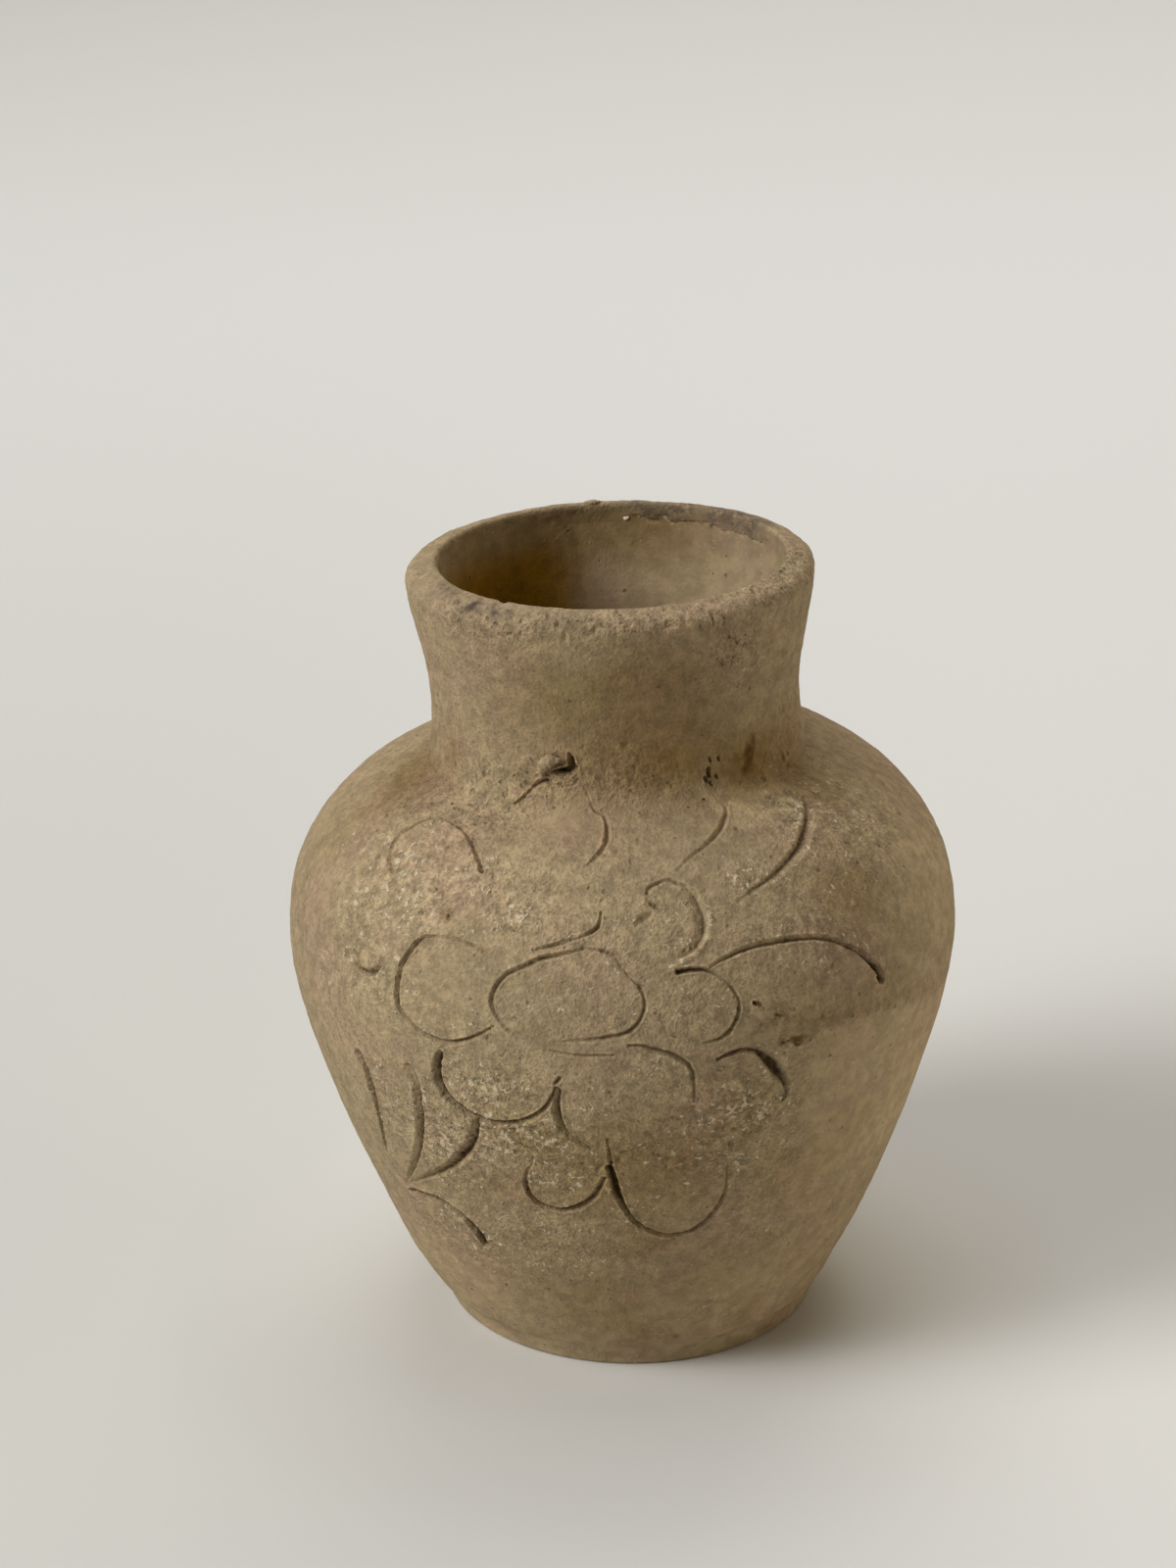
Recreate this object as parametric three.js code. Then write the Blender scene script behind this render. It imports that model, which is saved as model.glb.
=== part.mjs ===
import * as THREE from 'three';

// A small unglazed jar, thrown on a wheel: five sections of clay, set on each other
// while damp and fired as one. Millimetres, +Z up, standing on its flat base.

// Base
const FOOT_RADIUS = 27.7;
const FOOT_ROUNDING = 0.8;
const FOOT_EDGE_RADIUS = 28.5;
const FOOT_EDGE_HEIGHT = 3.5;
const BASE_THICKNESS = 6;
const BASE_TOP_RADIUS = 30;

// Lower wall, from the base to the seam at the widest point
const BELLY_RADIUS = 48.5;
const LOWER_WALL_HEIGHT = 53;
const WALL_THICKNESS = 4.6;
const WALL_START_ANGLE = THREE.MathUtils.degToRad(44);
const START_REACH = 6.8;
const BELLY_REACH = 12.1;

// Shoulder, a quarter of a superellipse that stops at the neck
const SHOULDER_CROWN_HEIGHT = 31;
const SHOULDER_FULLNESS = 2.4;

// Neck collar, drawn in above its foot and flared below the lip
const NECK_HEIGHT = 25.4;
const NECK_TOP_RADIUS = 28.85;
const NECK_FOOT_INSET = 1.65;
const NECK_DRAWN_IN = 2.4;
const NECK_DRAWN_IN_REACH = 11;
const NECK_FLARE = 0.85;
const NECK_FLARE_REACH = 8;
const NECK_THICKNESS = 4.3;

// Lip, which slopes outwards from a crest at its inner edge
const LIP_HEIGHT = 3.2;
const LIP_OVERHANG = 0.05;
const LIP_SLOPE_DROP = 1.2;
const LIP_OUTER_ROUNDING = 1.6;
const LIP_INNER_ROUNDING = 1;

// The jar stands a little crooked: the axis leans above the base, and once more at the shoulder
const BODY_LEAN = THREE.MathUtils.degToRad(1.6);
const BODY_LEAN_RISE = 14;
const NECK_LEAN = THREE.MathUtils.degToRad(0.5);

// Facets
const ROUND_SEGMENTS = 72;
const WALL_STEPS = 12;
const INSIDE_STEPS = 10;
const NECK_STEPS = 8;
const ROUNDING_STEPS = 3;

// Heights of the joints, and radii on both sides of each joint
const SEAM_HEIGHT = BASE_THICKNESS + LOWER_WALL_HEIGHT;
const FLOOR_RADIUS = BASE_TOP_RADIUS - WALL_THICKNESS / Math.sin(WALL_START_ANGLE);
const SEAM_INNER_RADIUS = BELLY_RADIUS - WALL_THICKNESS;
const NECK_FOOT_RADIUS = NECK_TOP_RADIUS - NECK_FOOT_INSET;
const NECK_FOOT_BORE = NECK_FOOT_RADIUS - NECK_THICKNESS;
const LIP_BORE = NECK_TOP_RADIUS - NECK_THICKNESS;
const LIP_RADIUS = NECK_TOP_RADIUS + LIP_OVERHANG;
const NECK_JOINT_HEIGHT = SEAM_HEIGHT + shoulderRise(NECK_FOOT_RADIUS, 0);
const LIP_JOINT_HEIGHT = NECK_JOINT_HEIGHT + NECK_HEIGHT;

// Height of the shoulder above the seam at a radius, for a surface set in by a wall thickness
function shoulderRise(radius, inset) {
  const share = (radius / (BELLY_RADIUS - inset)) ** SHOULDER_FULLNESS;
  return (SHOULDER_CROWN_HEIGHT - inset) * (1 - share) ** (1 / SHOULDER_FULLNESS);
}

// Points of the shoulder curve from the seam in to a radius, evenly turned
function shoulderCurve(endRadius, inset, steps) {
  const startRadius = BELLY_RADIUS - inset;
  const lastTurn = Math.acos((endRadius / startRadius) ** (SHOULDER_FULLNESS / 2));
  const points = [];
  for (let i = 0; i <= steps; i++) {
    const turn = (lastTurn * i) / steps;
    const radius = startRadius * Math.cos(turn) ** (2 / SHOULDER_FULLNESS);
    const rise = (SHOULDER_CROWN_HEIGHT - inset) * Math.sin(turn) ** (2 / SHOULDER_FULLNESS);
    points.push(new THREE.Vector2(radius, SEAM_HEIGHT + rise));
  }
  return points;
}

// Points of the lower wall's curve: it leaves the base at a slope and is upright at the seam
function lowerCurve(startRadius, seamRadius, steps) {
  const start = new THREE.Vector2(startRadius, BASE_THICKNESS);
  const seam = new THREE.Vector2(seamRadius, SEAM_HEIGHT);
  const slope = new THREE.Vector2(Math.cos(WALL_START_ANGLE), Math.sin(WALL_START_ANGLE));
  const leaving = start.clone().addScaledVector(slope, START_REACH);
  const arriving = new THREE.Vector2(seamRadius, SEAM_HEIGHT - BELLY_REACH);
  return new THREE.CubicBezierCurve(start, leaving, arriving, seam).getPoints(steps);
}

// Points up the neck, for a surface set in by a wall thickness
function neckCurve(inset, steps) {
  const foot = new THREE.Vector2(NECK_FOOT_RADIUS - inset, NECK_JOINT_HEIGHT);
  const top = new THREE.Vector2(NECK_TOP_RADIUS - inset, LIP_JOINT_HEIGHT);
  const drawnIn = new THREE.Vector2(foot.x - NECK_DRAWN_IN, foot.y + NECK_DRAWN_IN_REACH);
  const flared = new THREE.Vector2(top.x - NECK_FLARE, top.y - NECK_FLARE_REACH);
  return new THREE.CubicBezierCurve(foot, drawnIn, flared, top).getPoints(steps);
}

// How far one bend has tilted the axis and moved it to the side at a height
function axisBend(height, from, rise, angle) {
  const share = THREE.MathUtils.clamp((height - from) / rise, 0, 1);
  const above = Math.max(height - from - rise, 0);
  const tilt = angle * share * share * (3 - 2 * share);
  const shift = angle * (rise * (share ** 3 - share ** 4 / 2) + above);
  return { tilt, shift };
}

// Turns a closed outline about the axis, then lets the axis lean to -X
function turnedSection(name, outline, colour, roughness) {
  const closed = [...outline];
  if (outline[0].x > 0) {
    closed.push(outline[0].clone());
  }
  const geometry = new THREE.LatheGeometry(closed, ROUND_SEGMENTS);
  geometry.rotateX(Math.PI / 2);
  const neckRise = NECK_JOINT_HEIGHT - SEAM_HEIGHT;
  const place = geometry.attributes.position;
  for (let i = 0; i < place.count; i++) {
    const across = place.getX(i);
    const height = place.getZ(i);
    const body = axisBend(height, BASE_THICKNESS, BODY_LEAN_RISE, BODY_LEAN);
    const neck = axisBend(height, SEAM_HEIGHT, neckRise, NECK_LEAN);
    const tilt = body.tilt + neck.tilt;
    place.setX(i, across * Math.cos(tilt) - body.shift - neck.shift);
    place.setZ(i, height + across * Math.sin(tilt));
  }
  geometry.computeVertexNormals();
  const material = new THREE.MeshStandardMaterial({ color: colour, roughness, metalness: 0 });
  const mesh = new THREE.Mesh(geometry, material);
  mesh.name = name;
  return mesh;
}

// The floor of the jar, flat below, with a small rounded foot edge
function baseDisc() {
  const edge = new THREE.Path();
  edge.moveTo(FOOT_RADIUS - FOOT_ROUNDING, 0);
  edge.quadraticCurveTo(FOOT_RADIUS, 0, FOOT_RADIUS, FOOT_ROUNDING);
  const outline = [
    new THREE.Vector2(0, 0),
    ...edge.getPoints(ROUNDING_STEPS),
    new THREE.Vector2(FOOT_EDGE_RADIUS, FOOT_EDGE_HEIGHT),
    new THREE.Vector2(BASE_TOP_RADIUS, BASE_THICKNESS),
    new THREE.Vector2(FLOOR_RADIUS, BASE_THICKNESS),
    new THREE.Vector2(0, BASE_THICKNESS),
  ];
  return turnedSection('base_disc', outline, 0x786a51, 0.95);
}

// The bowl-shaped wall that stands on the base
function lowerWall() {
  const outside = lowerCurve(BASE_TOP_RADIUS, BELLY_RADIUS, WALL_STEPS);
  const inside = lowerCurve(FLOOR_RADIUS, SEAM_INNER_RADIUS, INSIDE_STEPS);
  return turnedSection('lower_wall', [...outside, ...inside.reverse()], 0x8a765a, 0.94);
}

// The upper wall, turned in to the neck joint, where its top is flat
function shoulderWall() {
  const outside = shoulderCurve(NECK_FOOT_RADIUS, 0, WALL_STEPS);
  const inside = shoulderCurve(NECK_FOOT_BORE, WALL_THICKNESS, INSIDE_STEPS);
  const openingEdge = new THREE.Vector2(NECK_FOOT_BORE, NECK_JOINT_HEIGHT);
  const outline = [...outside, openingEdge, ...inside.reverse()];
  return turnedSection('shoulder_wall', outline, 0x917d60, 0.93);
}

// The collar that is luted on the shoulder
function neckCollar() {
  const outside = neckCurve(0, NECK_STEPS);
  const inside = neckCurve(NECK_THICKNESS, NECK_STEPS);
  return turnedSection('neck_collar', [...outside, ...inside.reverse()], 0x85704f, 0.94);
}

// The last coil, smoothed to a rounded lip
function lipCoil() {
  const top = LIP_JOINT_HEIGHT + LIP_HEIGHT;
  const crest = new THREE.Vector2(LIP_BORE, top);
  const corner = new THREE.Vector2(LIP_RADIUS, top - LIP_SLOPE_DROP);
  const slope = crest.clone().sub(corner).normalize();
  const afterCorner = corner.clone().addScaledVector(slope, LIP_OUTER_ROUNDING);
  const beforeCrest = crest.clone().addScaledVector(slope, -LIP_INNER_ROUNDING);
  const lip = new THREE.Path();
  lip.moveTo(NECK_TOP_RADIUS, LIP_JOINT_HEIGHT);
  lip.lineTo(corner.x, corner.y - LIP_OUTER_ROUNDING);
  lip.quadraticCurveTo(corner.x, corner.y, afterCorner.x, afterCorner.y);
  lip.lineTo(beforeCrest.x, beforeCrest.y);
  lip.quadraticCurveTo(crest.x, crest.y, LIP_BORE, top - LIP_INNER_ROUNDING);
  const outline = [...lip.getPoints(ROUNDING_STEPS), new THREE.Vector2(LIP_BORE, LIP_JOINT_HEIGHT)];
  return turnedSection('lip_coil', outline, 0x9a8566, 0.92);
}

const pot = new THREE.Group();
pot.add(baseDisc(), lowerWall(), shoulderWall(), neckCollar(), lipCoil());

// The origin is on the table, under the middle of the leaning jar's own outline
const extent = new THREE.Box3().setFromObject(pot);
pot.position.x = -(extent.min.x + extent.max.x) / 2;

export default pot;
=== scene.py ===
"""A small unglazed jar, thrown on a wheel, with petals and leaves cut into its front before firing."""
import math
from itertools import product

import bpy
import numpy as np
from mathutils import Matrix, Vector
from mathutils.kdtree import KDTree


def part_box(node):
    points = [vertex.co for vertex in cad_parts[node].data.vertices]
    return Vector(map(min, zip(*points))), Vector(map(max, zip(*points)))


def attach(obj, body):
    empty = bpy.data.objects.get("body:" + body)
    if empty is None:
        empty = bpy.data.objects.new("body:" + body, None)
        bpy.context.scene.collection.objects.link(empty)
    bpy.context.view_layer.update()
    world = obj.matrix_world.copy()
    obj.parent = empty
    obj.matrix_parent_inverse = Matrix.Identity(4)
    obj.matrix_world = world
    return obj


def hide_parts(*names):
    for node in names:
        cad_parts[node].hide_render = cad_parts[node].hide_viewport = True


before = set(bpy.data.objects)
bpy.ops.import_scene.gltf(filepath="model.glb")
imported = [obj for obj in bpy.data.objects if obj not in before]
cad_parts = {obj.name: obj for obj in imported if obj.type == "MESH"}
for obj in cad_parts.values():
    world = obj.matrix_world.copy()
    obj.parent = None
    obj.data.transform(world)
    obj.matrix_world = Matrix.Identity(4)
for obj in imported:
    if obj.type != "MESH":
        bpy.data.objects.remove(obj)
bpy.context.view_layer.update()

# The jar's section in millimetres, as the solids have it
MM = 0.001
FOOT_RADIUS = 27.7
FOOT_ROUNDING = 0.8
FOOT_EDGE = (28.5, 3.5)
BASE_THICKNESS = 6.0
BASE_TOP_RADIUS = 30.0
BELLY_RADIUS = 48.5
SEAM_HEIGHT = 59.0
WALL_THICKNESS = 4.6
WALL_START_ANGLE = math.radians(44)
START_REACH = 6.8
BELLY_REACH = 12.1
SHOULDER_CROWN_HEIGHT = 31.0
SHOULDER_FULLNESS = 2.4
NECK_HEIGHT = 25.4
NECK_FOOT_RADIUS = 27.2
NECK_DRAWN_IN = (2.4, 11.0)
NECK_TOP_RADIUS = 28.85
NECK_FLARE = (0.85, 8.0)
NECK_THICKNESS = 4.3
LIP_HEIGHT = 3.2
LIP_RADIUS = 28.9
LIP_SLOPE_DROP = 1.2
LIP_OUTER_ROUNDING = 1.6
LIP_INNER_ROUNDING = 1.0
BODY_LEAN = math.radians(1.6)
BODY_LEAN_RISE = 14.0
NECK_LEAN = math.radians(0.5)

# How finely the surface is divided
COLUMNS = 432
FRONT_CROWDING = 0.55
CURVE_STEPS = 240
CORNER_STEPS = 24
SKIN_STEP = 0.05
SKIN_SOFTENING = 0.9
DIVIDED_REACHES = (1.2, 0.65)
ORNAMENT_BEGINS = 20
CRUMB_STEP = 0.1
CRUMB_LUMPS = 0.30
MERGE_DISTANCE = 0.000001
SMOOTH_ANGLE = math.radians(50)

# The ornament is placed by degrees round from the front and by millimetres up the wall
SEAM_UP_WALL = 63.1

base_low, base_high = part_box("base_disc")
BASE_CENTRE_X = (base_low.x + base_high.x) / 2 / MM


# The skin: one line round the section, from under the base over the lip to the floor inside

def cubic(a, b, c, d):
    t = np.linspace(0, 1, CURVE_STEPS)[:, None]
    a, b, c, d = (np.array(p, float) for p in (a, b, c, d))
    return (1 - t) ** 3 * a + 3 * (1 - t) ** 2 * t * b + 3 * (1 - t) * t * t * c + t ** 3 * d


def rounded_corner(a, corner, b):
    t = np.linspace(0, 1, CORNER_STEPS)[:, None]
    a, corner, b = (np.array(p, float) for p in (a, corner, b))
    return (1 - t) ** 2 * a + 2 * (1 - t) * t * corner + t * t * b


def shoulder_rise(radius, inset):
    share = (radius / (BELLY_RADIUS - inset)) ** SHOULDER_FULLNESS
    return (SHOULDER_CROWN_HEIGHT - inset) * (1 - share) ** (1 / SHOULDER_FULLNESS)


def shoulder_curve(end_radius, inset):
    start = BELLY_RADIUS - inset
    last = math.acos((end_radius / start) ** (SHOULDER_FULLNESS / 2))
    turn = np.linspace(0, last, CURVE_STEPS)
    radius = start * np.cos(turn) ** (2 / SHOULDER_FULLNESS)
    rise = (SHOULDER_CROWN_HEIGHT - inset) * np.sin(turn) ** (2 / SHOULDER_FULLNESS)
    return np.column_stack([radius, SEAM_HEIGHT + rise])


def lower_curve(start_radius, seam_radius):
    leaving = (start_radius + START_REACH * math.cos(WALL_START_ANGLE),
               BASE_THICKNESS + START_REACH * math.sin(WALL_START_ANGLE))
    arriving = (seam_radius, SEAM_HEIGHT - BELLY_REACH)
    return cubic((start_radius, BASE_THICKNESS), leaving, arriving, (seam_radius, SEAM_HEIGHT))


def neck_curve(inset):
    foot = (NECK_FOOT_RADIUS - inset, NECK_JOINT_HEIGHT)
    top = (NECK_TOP_RADIUS - inset, LIP_JOINT_HEIGHT)
    drawn_in = (foot[0] - NECK_DRAWN_IN[0], foot[1] + NECK_DRAWN_IN[1])
    flared = (top[0] - NECK_FLARE[0], top[1] - NECK_FLARE[1])
    return cubic(foot, drawn_in, flared, top)


def lip_curve():
    top = LIP_JOINT_HEIGHT + LIP_HEIGHT
    crest = np.array([LIP_BORE, top])
    corner = np.array([LIP_RADIUS, top - LIP_SLOPE_DROP])
    slope = (crest - corner) / np.linalg.norm(crest - corner)
    below_corner = corner - (0, LIP_OUTER_ROUNDING)
    after_corner = corner + slope * LIP_OUTER_ROUNDING
    before_crest = crest - slope * LIP_INNER_ROUNDING
    below_crest = crest - (0, LIP_INNER_ROUNDING)
    outer = rounded_corner(below_corner, corner, after_corner)
    inner = rounded_corner(before_crest, crest, below_crest)
    return np.vstack([outer, inner])


FLOOR_RADIUS = BASE_TOP_RADIUS - WALL_THICKNESS / math.sin(WALL_START_ANGLE)
SEAM_INNER_RADIUS = BELLY_RADIUS - WALL_THICKNESS
NECK_BORE = NECK_FOOT_RADIUS - NECK_THICKNESS
LIP_BORE = NECK_TOP_RADIUS - NECK_THICKNESS
NECK_JOINT_HEIGHT = SEAM_HEIGHT + shoulder_rise(NECK_FOOT_RADIUS, 0)
LIP_JOINT_HEIGHT = NECK_JOINT_HEIGHT + NECK_HEIGHT


class Skin:
    """The section as one line, measured along its length, with a softened outward direction."""

    def __init__(self, stretches, softening):
        points = [np.array([[0.0, 0.0]])]
        ends = {}
        for name, stretch in stretches:
            points.append(np.atleast_2d(np.array(stretch, float)))
            ends[name] = sum(len(p) for p in points) - 1
        line = np.vstack(points)
        length = np.concatenate([[0], np.cumsum(np.linalg.norm(np.diff(line, axis=0), axis=1))])
        self.mark = {name: float(length[i]) for name, i in ends.items()}
        self.along = np.arange(0, length[-1] + SKIN_STEP, SKIN_STEP)
        self.radius = np.interp(self.along, length, line[:, 0])
        self.height = np.interp(self.along, length, line[:, 1])
        reach = np.arange(-3 * softening, 3 * softening + SKIN_STEP, SKIN_STEP)
        weight = np.exp(-(reach / softening) ** 2 / 2)
        weight /= weight.sum()

        def softened_run(values):
            padded = np.pad(np.gradient(values), len(reach) // 2, mode="edge")
            return np.convolve(padded, weight, mode="valid")[:len(self.along)]

        run, climb = softened_run(self.radius), softened_run(self.height)
        size = np.hypot(run, climb)
        self.out_radius = climb / size
        self.out_height = -run / size

    def at(self, along):
        return np.interp(along, self.along, self.radius), np.interp(along, self.along, self.height)

    def outward(self, along):
        across = np.interp(along, self.along, self.out_radius)
        up = np.interp(along, self.along, self.out_height)
        size = np.hypot(across, up)
        return across / size, up / size


skin = Skin([
    ("under_edge", (FOOT_RADIUS - FOOT_ROUNDING, 0)),
    ("foot", rounded_corner((FOOT_RADIUS - FOOT_ROUNDING, 0), (FOOT_RADIUS, 0),
                            (FOOT_RADIUS, FOOT_ROUNDING))),
    ("base_top", [FOOT_EDGE, (BASE_TOP_RADIUS, BASE_THICKNESS)]),
    ("seam", lower_curve(BASE_TOP_RADIUS, BELLY_RADIUS)),
    ("neck_joint", shoulder_curve(NECK_FOOT_RADIUS, 0)),
    ("lip_joint", neck_curve(0)),
    ("crest", lip_curve()),
    ("lip_joint_inside", (LIP_BORE, LIP_JOINT_HEIGHT)),
    ("neck_joint_inside", neck_curve(NECK_THICKNESS)[::-1]),
    ("seam_inside", shoulder_curve(NECK_BORE, WALL_THICKNESS)[::-1]),
    ("floor_edge", lower_curve(FLOOR_RADIUS, SEAM_INNER_RADIUS)[::-1]),
    ("floor_middle", (0, BASE_THICKNESS)),
], SKIN_SOFTENING)

UP_WALL_START = skin.mark["seam"] - SEAM_UP_WALL
CREST = skin.mark["crest"]


def turned(across, up, degrees):
    """Points or directions that lie across the axis and up it, turned round it from the front."""
    turn = np.radians(degrees)
    return np.column_stack([across * np.sin(turn), -across * np.cos(turn), up])


def unleaned(along, degrees):
    """Points on the skin before the jar leans."""
    return turned(*skin.at(along), degrees)


def outward(along, degrees):
    """Outward directions of the softened skin, before the jar leans."""
    return turned(*skin.outward(along), degrees)


def axis_bend(height, start, rise, angle):
    share = np.clip((height - start) / rise, 0, 1)
    above = np.maximum(height - start - rise, 0)
    tilt = angle * share * share * (3 - 2 * share)
    shift = angle * (rise * (share ** 3 - share ** 4 / 2) + above)
    return tilt, shift


def leaned(points):
    """The jar stands a little crooked, as its solids do."""
    across, height = points[:, 0], points[:, 2]
    body_tilt, body_shift = axis_bend(height, BASE_THICKNESS, BODY_LEAN_RISE, BODY_LEAN)
    neck_tilt, neck_shift = axis_bend(height, SEAM_HEIGHT, NECK_JOINT_HEIGHT - SEAM_HEIGHT, NECK_LEAN)
    tilt = body_tilt + neck_tilt
    x = across * np.cos(tilt) - body_shift - neck_shift + BASE_CENTRE_X
    return np.column_stack([x, points[:, 1], height + across * np.sin(tilt)])


# Irregularity of clay: smooth noise and scattered dents, the same on every run

# Large numbers without a pattern, for mixing up a cell's place and a seed
MIX_X, MIX_Y, MIX_Z, MIX_ALL = (np.uint64(number) for number in (
    0x9E3779B97F4A7C15, 0xC2B2AE3D27D4EB4F, 0x165667B19E3779F9, 0xBF58476D1CE4E5B9))
MIX_SEED = 0x27D4EB2F1
NOISE_GAIN = 1.6
LEAST_CHANCE = 0.02


def scrambled(cells, seed):
    """Three numbers from 0 to 1 for each lattice cell."""
    c = cells.astype(np.int64).astype(np.uint64)
    with np.errstate(over="ignore"):
        h = c[:, 0] * MIX_X + c[:, 1] * MIX_Y
        h += c[:, 2] * MIX_Z + np.uint64(seed * MIX_SEED)
        h ^= h >> np.uint64(29)
        h *= MIX_ALL
        h ^= h >> np.uint64(32)
    third = np.uint64((1 << 21) - 1)
    parts = [(h >> np.uint64(shift)) & third for shift in (0, 21, 42)]
    return np.stack(parts, axis=1) / float(third)


def noise(points, size, seed):
    """Smooth noise from about -1 to 1, with bumps as wide as size."""
    grid = points / size
    cell = np.floor(grid)
    part = grid - cell
    fade = part ** 3 * (part * (part * 6 - 15) + 10)
    total = np.zeros(len(points))
    for corner in product((0, 1), repeat=3):
        pull = scrambled(cell + corner, seed) * 2 - 1
        x, y, z = (fade[:, k] if corner[k] else 1 - fade[:, k] for k in range(3))
        total += x * y * z * np.einsum("ij,ij->i", pull, part - corner)
    return total * NOISE_GAIN


def waves(points, layers, start=0):
    """Layers of noise on top of each other, each (height, size, seed)."""
    return sum((height * noise(points, size, seed) for height, size, seed in layers), start)


def dents(points, size, seed, chance, small, large):
    """Depth from 0 to 1 of round dents, one at most in each cell of a size, where a chance allows."""
    deepest = np.zeros(len(points))
    chance = np.broadcast_to(chance, len(points))
    likely = np.flatnonzero(chance > LEAST_CHANCE)
    grid = points[likely] / size
    cell = np.floor(grid)
    found = np.zeros(len(likely))
    for corner in product((-1, 0, 1), repeat=3):
        home = cell + corner
        lot = scrambled(home, seed + 1)
        radius = small + (large - small) * lot[:, 0]
        away = grid - home - scrambled(home, seed)
        away = np.einsum("ij,ij->i", away, away) / radius ** 2
        found = np.maximum(found, np.where(lot[:, 1] < chance[likely], 1 - away, 0))
    deepest[likely] = found
    return deepest


def ridge(away, width):
    """1 at a line and falling off beside it."""
    return np.exp(-(away / width) ** 2)


def smooth_step(value, low, high):
    share = np.clip((value - low) / (high - low), 0, 1)
    return share * share * (3 - 2 * share)


def between(value, begins, ends):
    """1 between where something begins and where it ends, each (from, to) as for a smooth step."""
    return smooth_step(value, *begins) * (1 - smooth_step(value, *ends))


def patches(degrees, up_wall, spots):
    """Strength of soft oval patches, each (degrees, up the wall, half width, half height, strength)."""
    total = np.zeros(len(degrees))
    for middle, up, half_width, half_height, strength in spots:
        away = ((degrees - middle) / half_width) ** 2 + ((up_wall - up) / half_height) ** 2
        total = np.maximum(total, strength * np.exp(-away))
    return total


# The ornament: strokes cut with a slanted stick into leather-hard clay

def stroke(points, width, depth, slant=0.0, rim=1.0):
    """A stroke through points (degrees, up the wall), with widths and depths spread evenly along it.

    A cut slants by -1 to 1, positive where it is steep on the right of the stroke's run, and the
    rim says how much clay was pushed up beside it.
    """
    return {"points": points, "width": width, "depth": depth, "slant": slant, "rim": rim}


LEFT_LEAF_ARCH = stroke(
    [(-50, 84.6), (-54, 86.8), (-55.5, 89.8), (-53, 93.4), (-48.5, 94.9), (-42, 94.6), (-36.5, 92.9),
     (-32, 90.3), (-29.5, 88.5)],
    (0.6, 0.7, 0.7, 0.7, 0.75), (0.25, 0.4, 0.35, 0.45, 0.55))
TOP_PETAL_LEFT = stroke(
    [(-31.2, 100.2), (-29.8, 101.2), (-27.5, 102.6), (-25.3, 103.8), (-23.4, 104.5), (-21.5, 104.8)],
    (0.3, 0.7, 0.8, 0.5, 0.9, 0.9), (0.05, 0.4, 0.5, 0.2, 0.6, 0.7))
TOP_PETAL_POCKET = stroke([(-19.4, 106.2), (-17.5, 106.2), (-15, 106.4), (-12.3, 107)],
                          (0.6, 1.2, 1.4, 0.9), (0.5, 1.0, 1.0, 0.6), -0.3)
TOP_PETAL_NOTCH = stroke([(-14.2, 109.1), (-13.7, 108.3), (-13.2, 107.3)], (0.5, 1.1, 1.0), (0.3, 0.9, 0.8))
TOP_PETAL_FAINT = stroke([(-20.5, 104.4), (-17, 104.2), (-13.5, 104.4), (-11.5, 105.4)], (0.5, 0.6),
                         (0.12, 0.12))
TOP_PETAL_RIGHT = stroke(
    [(-12, 106), (-9, 103.5), (-6.3, 100.4), (-4, 99.7), (-3, 97.7), (-3, 95.7), (-4, 93.7), (-5.75, 92),
     (-7.5, 90.7)],
    (0.3, 0.4, 0.7, 0.9, 0.9, 0.5), (0.04, 0.08, 0.32, 0.44, 0.4, 0.12))
UPPER_RIGHT_LINE = stroke(
    [(30.2, 98.6), (29.2, 97.5), (27.3, 96.4), (25, 95), (20.8, 93.2), (15, 91), (11.5, 89.2)],
    (0.7, 1.0, 1.0, 0.8, 0.7, 0.5), (0.2, 0.42, 0.4, 0.28, 0.2, 0.08))
RIGHT_LEAF = stroke(
    [(22, 83.4), (26, 84.6), (31.5, 86), (36, 87.3), (40.4, 88.7), (45.5, 90.9), (49.8, 93), (53, 95)],
    (0.6, 1.1, 1.5, 1.7, 1.8, 1.6), (0.1, 0.38, 0.52, 0.6, 0.55, 0.25), -0.4, 1.2)
MID_PETAL_FAINT = stroke([(-12, 87.6), (-8, 87.3), (-5, 86.2)], (0.5, 0.5), (0.1, 0.14))
MID_PETAL = stroke(
    [(-3.75, 83.8), (-3.9, 82.6), (-4.6, 81.5), (-7, 80.4), (-10, 79.6), (-12.25, 79), (-14.6, 78.4)],
    (0.5, 0.7, 0.7, 0.6, 0.7, 0.6), (0.25, 0.5, 0.4, 0.3, 0.45, 0.25))
CURL_TOP = stroke([(5.2, 86.4), (5.7, 87.1), (7.2, 87.6), (9.2, 88), (10.8, 87.7), (12.5, 86.8)],
                  (0.7, 0.8, 0.8, 0.8, 0.8, 0.9), (0.3, 0.34, 0.3, 0.34, 0.34, 0.3), -0.3, 0.7)
CURL_SIDE = stroke(
    [(12, 87.1), (13.2, 85.7), (13.9, 84.2), (14.2, 82.5), (14, 80.8), (13, 79.2), (11.6, 78), (9.6, 77.3)],
    (0.8, 1.1, 1.4, 1.6, 1.7, 1.5, 1.2, 0.7), (0.28, 0.34, 0.42, 0.5, 0.5, 0.42, 0.28, 0.1), -0.65, 0.5)
CURL_PIT = stroke([(5.6, 84.7), (6.6, 84.2), (7.2, 83.8)], (0.7, 1.0, 0.7), (0.25, 0.42, 0.2))
CURL_HOLLOW = stroke([(2.6, 82), (3.8, 82.6), (5.4, 83.4)], (0.9, 1.5, 0.8), (0.2, 0.4, 0.2))
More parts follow.
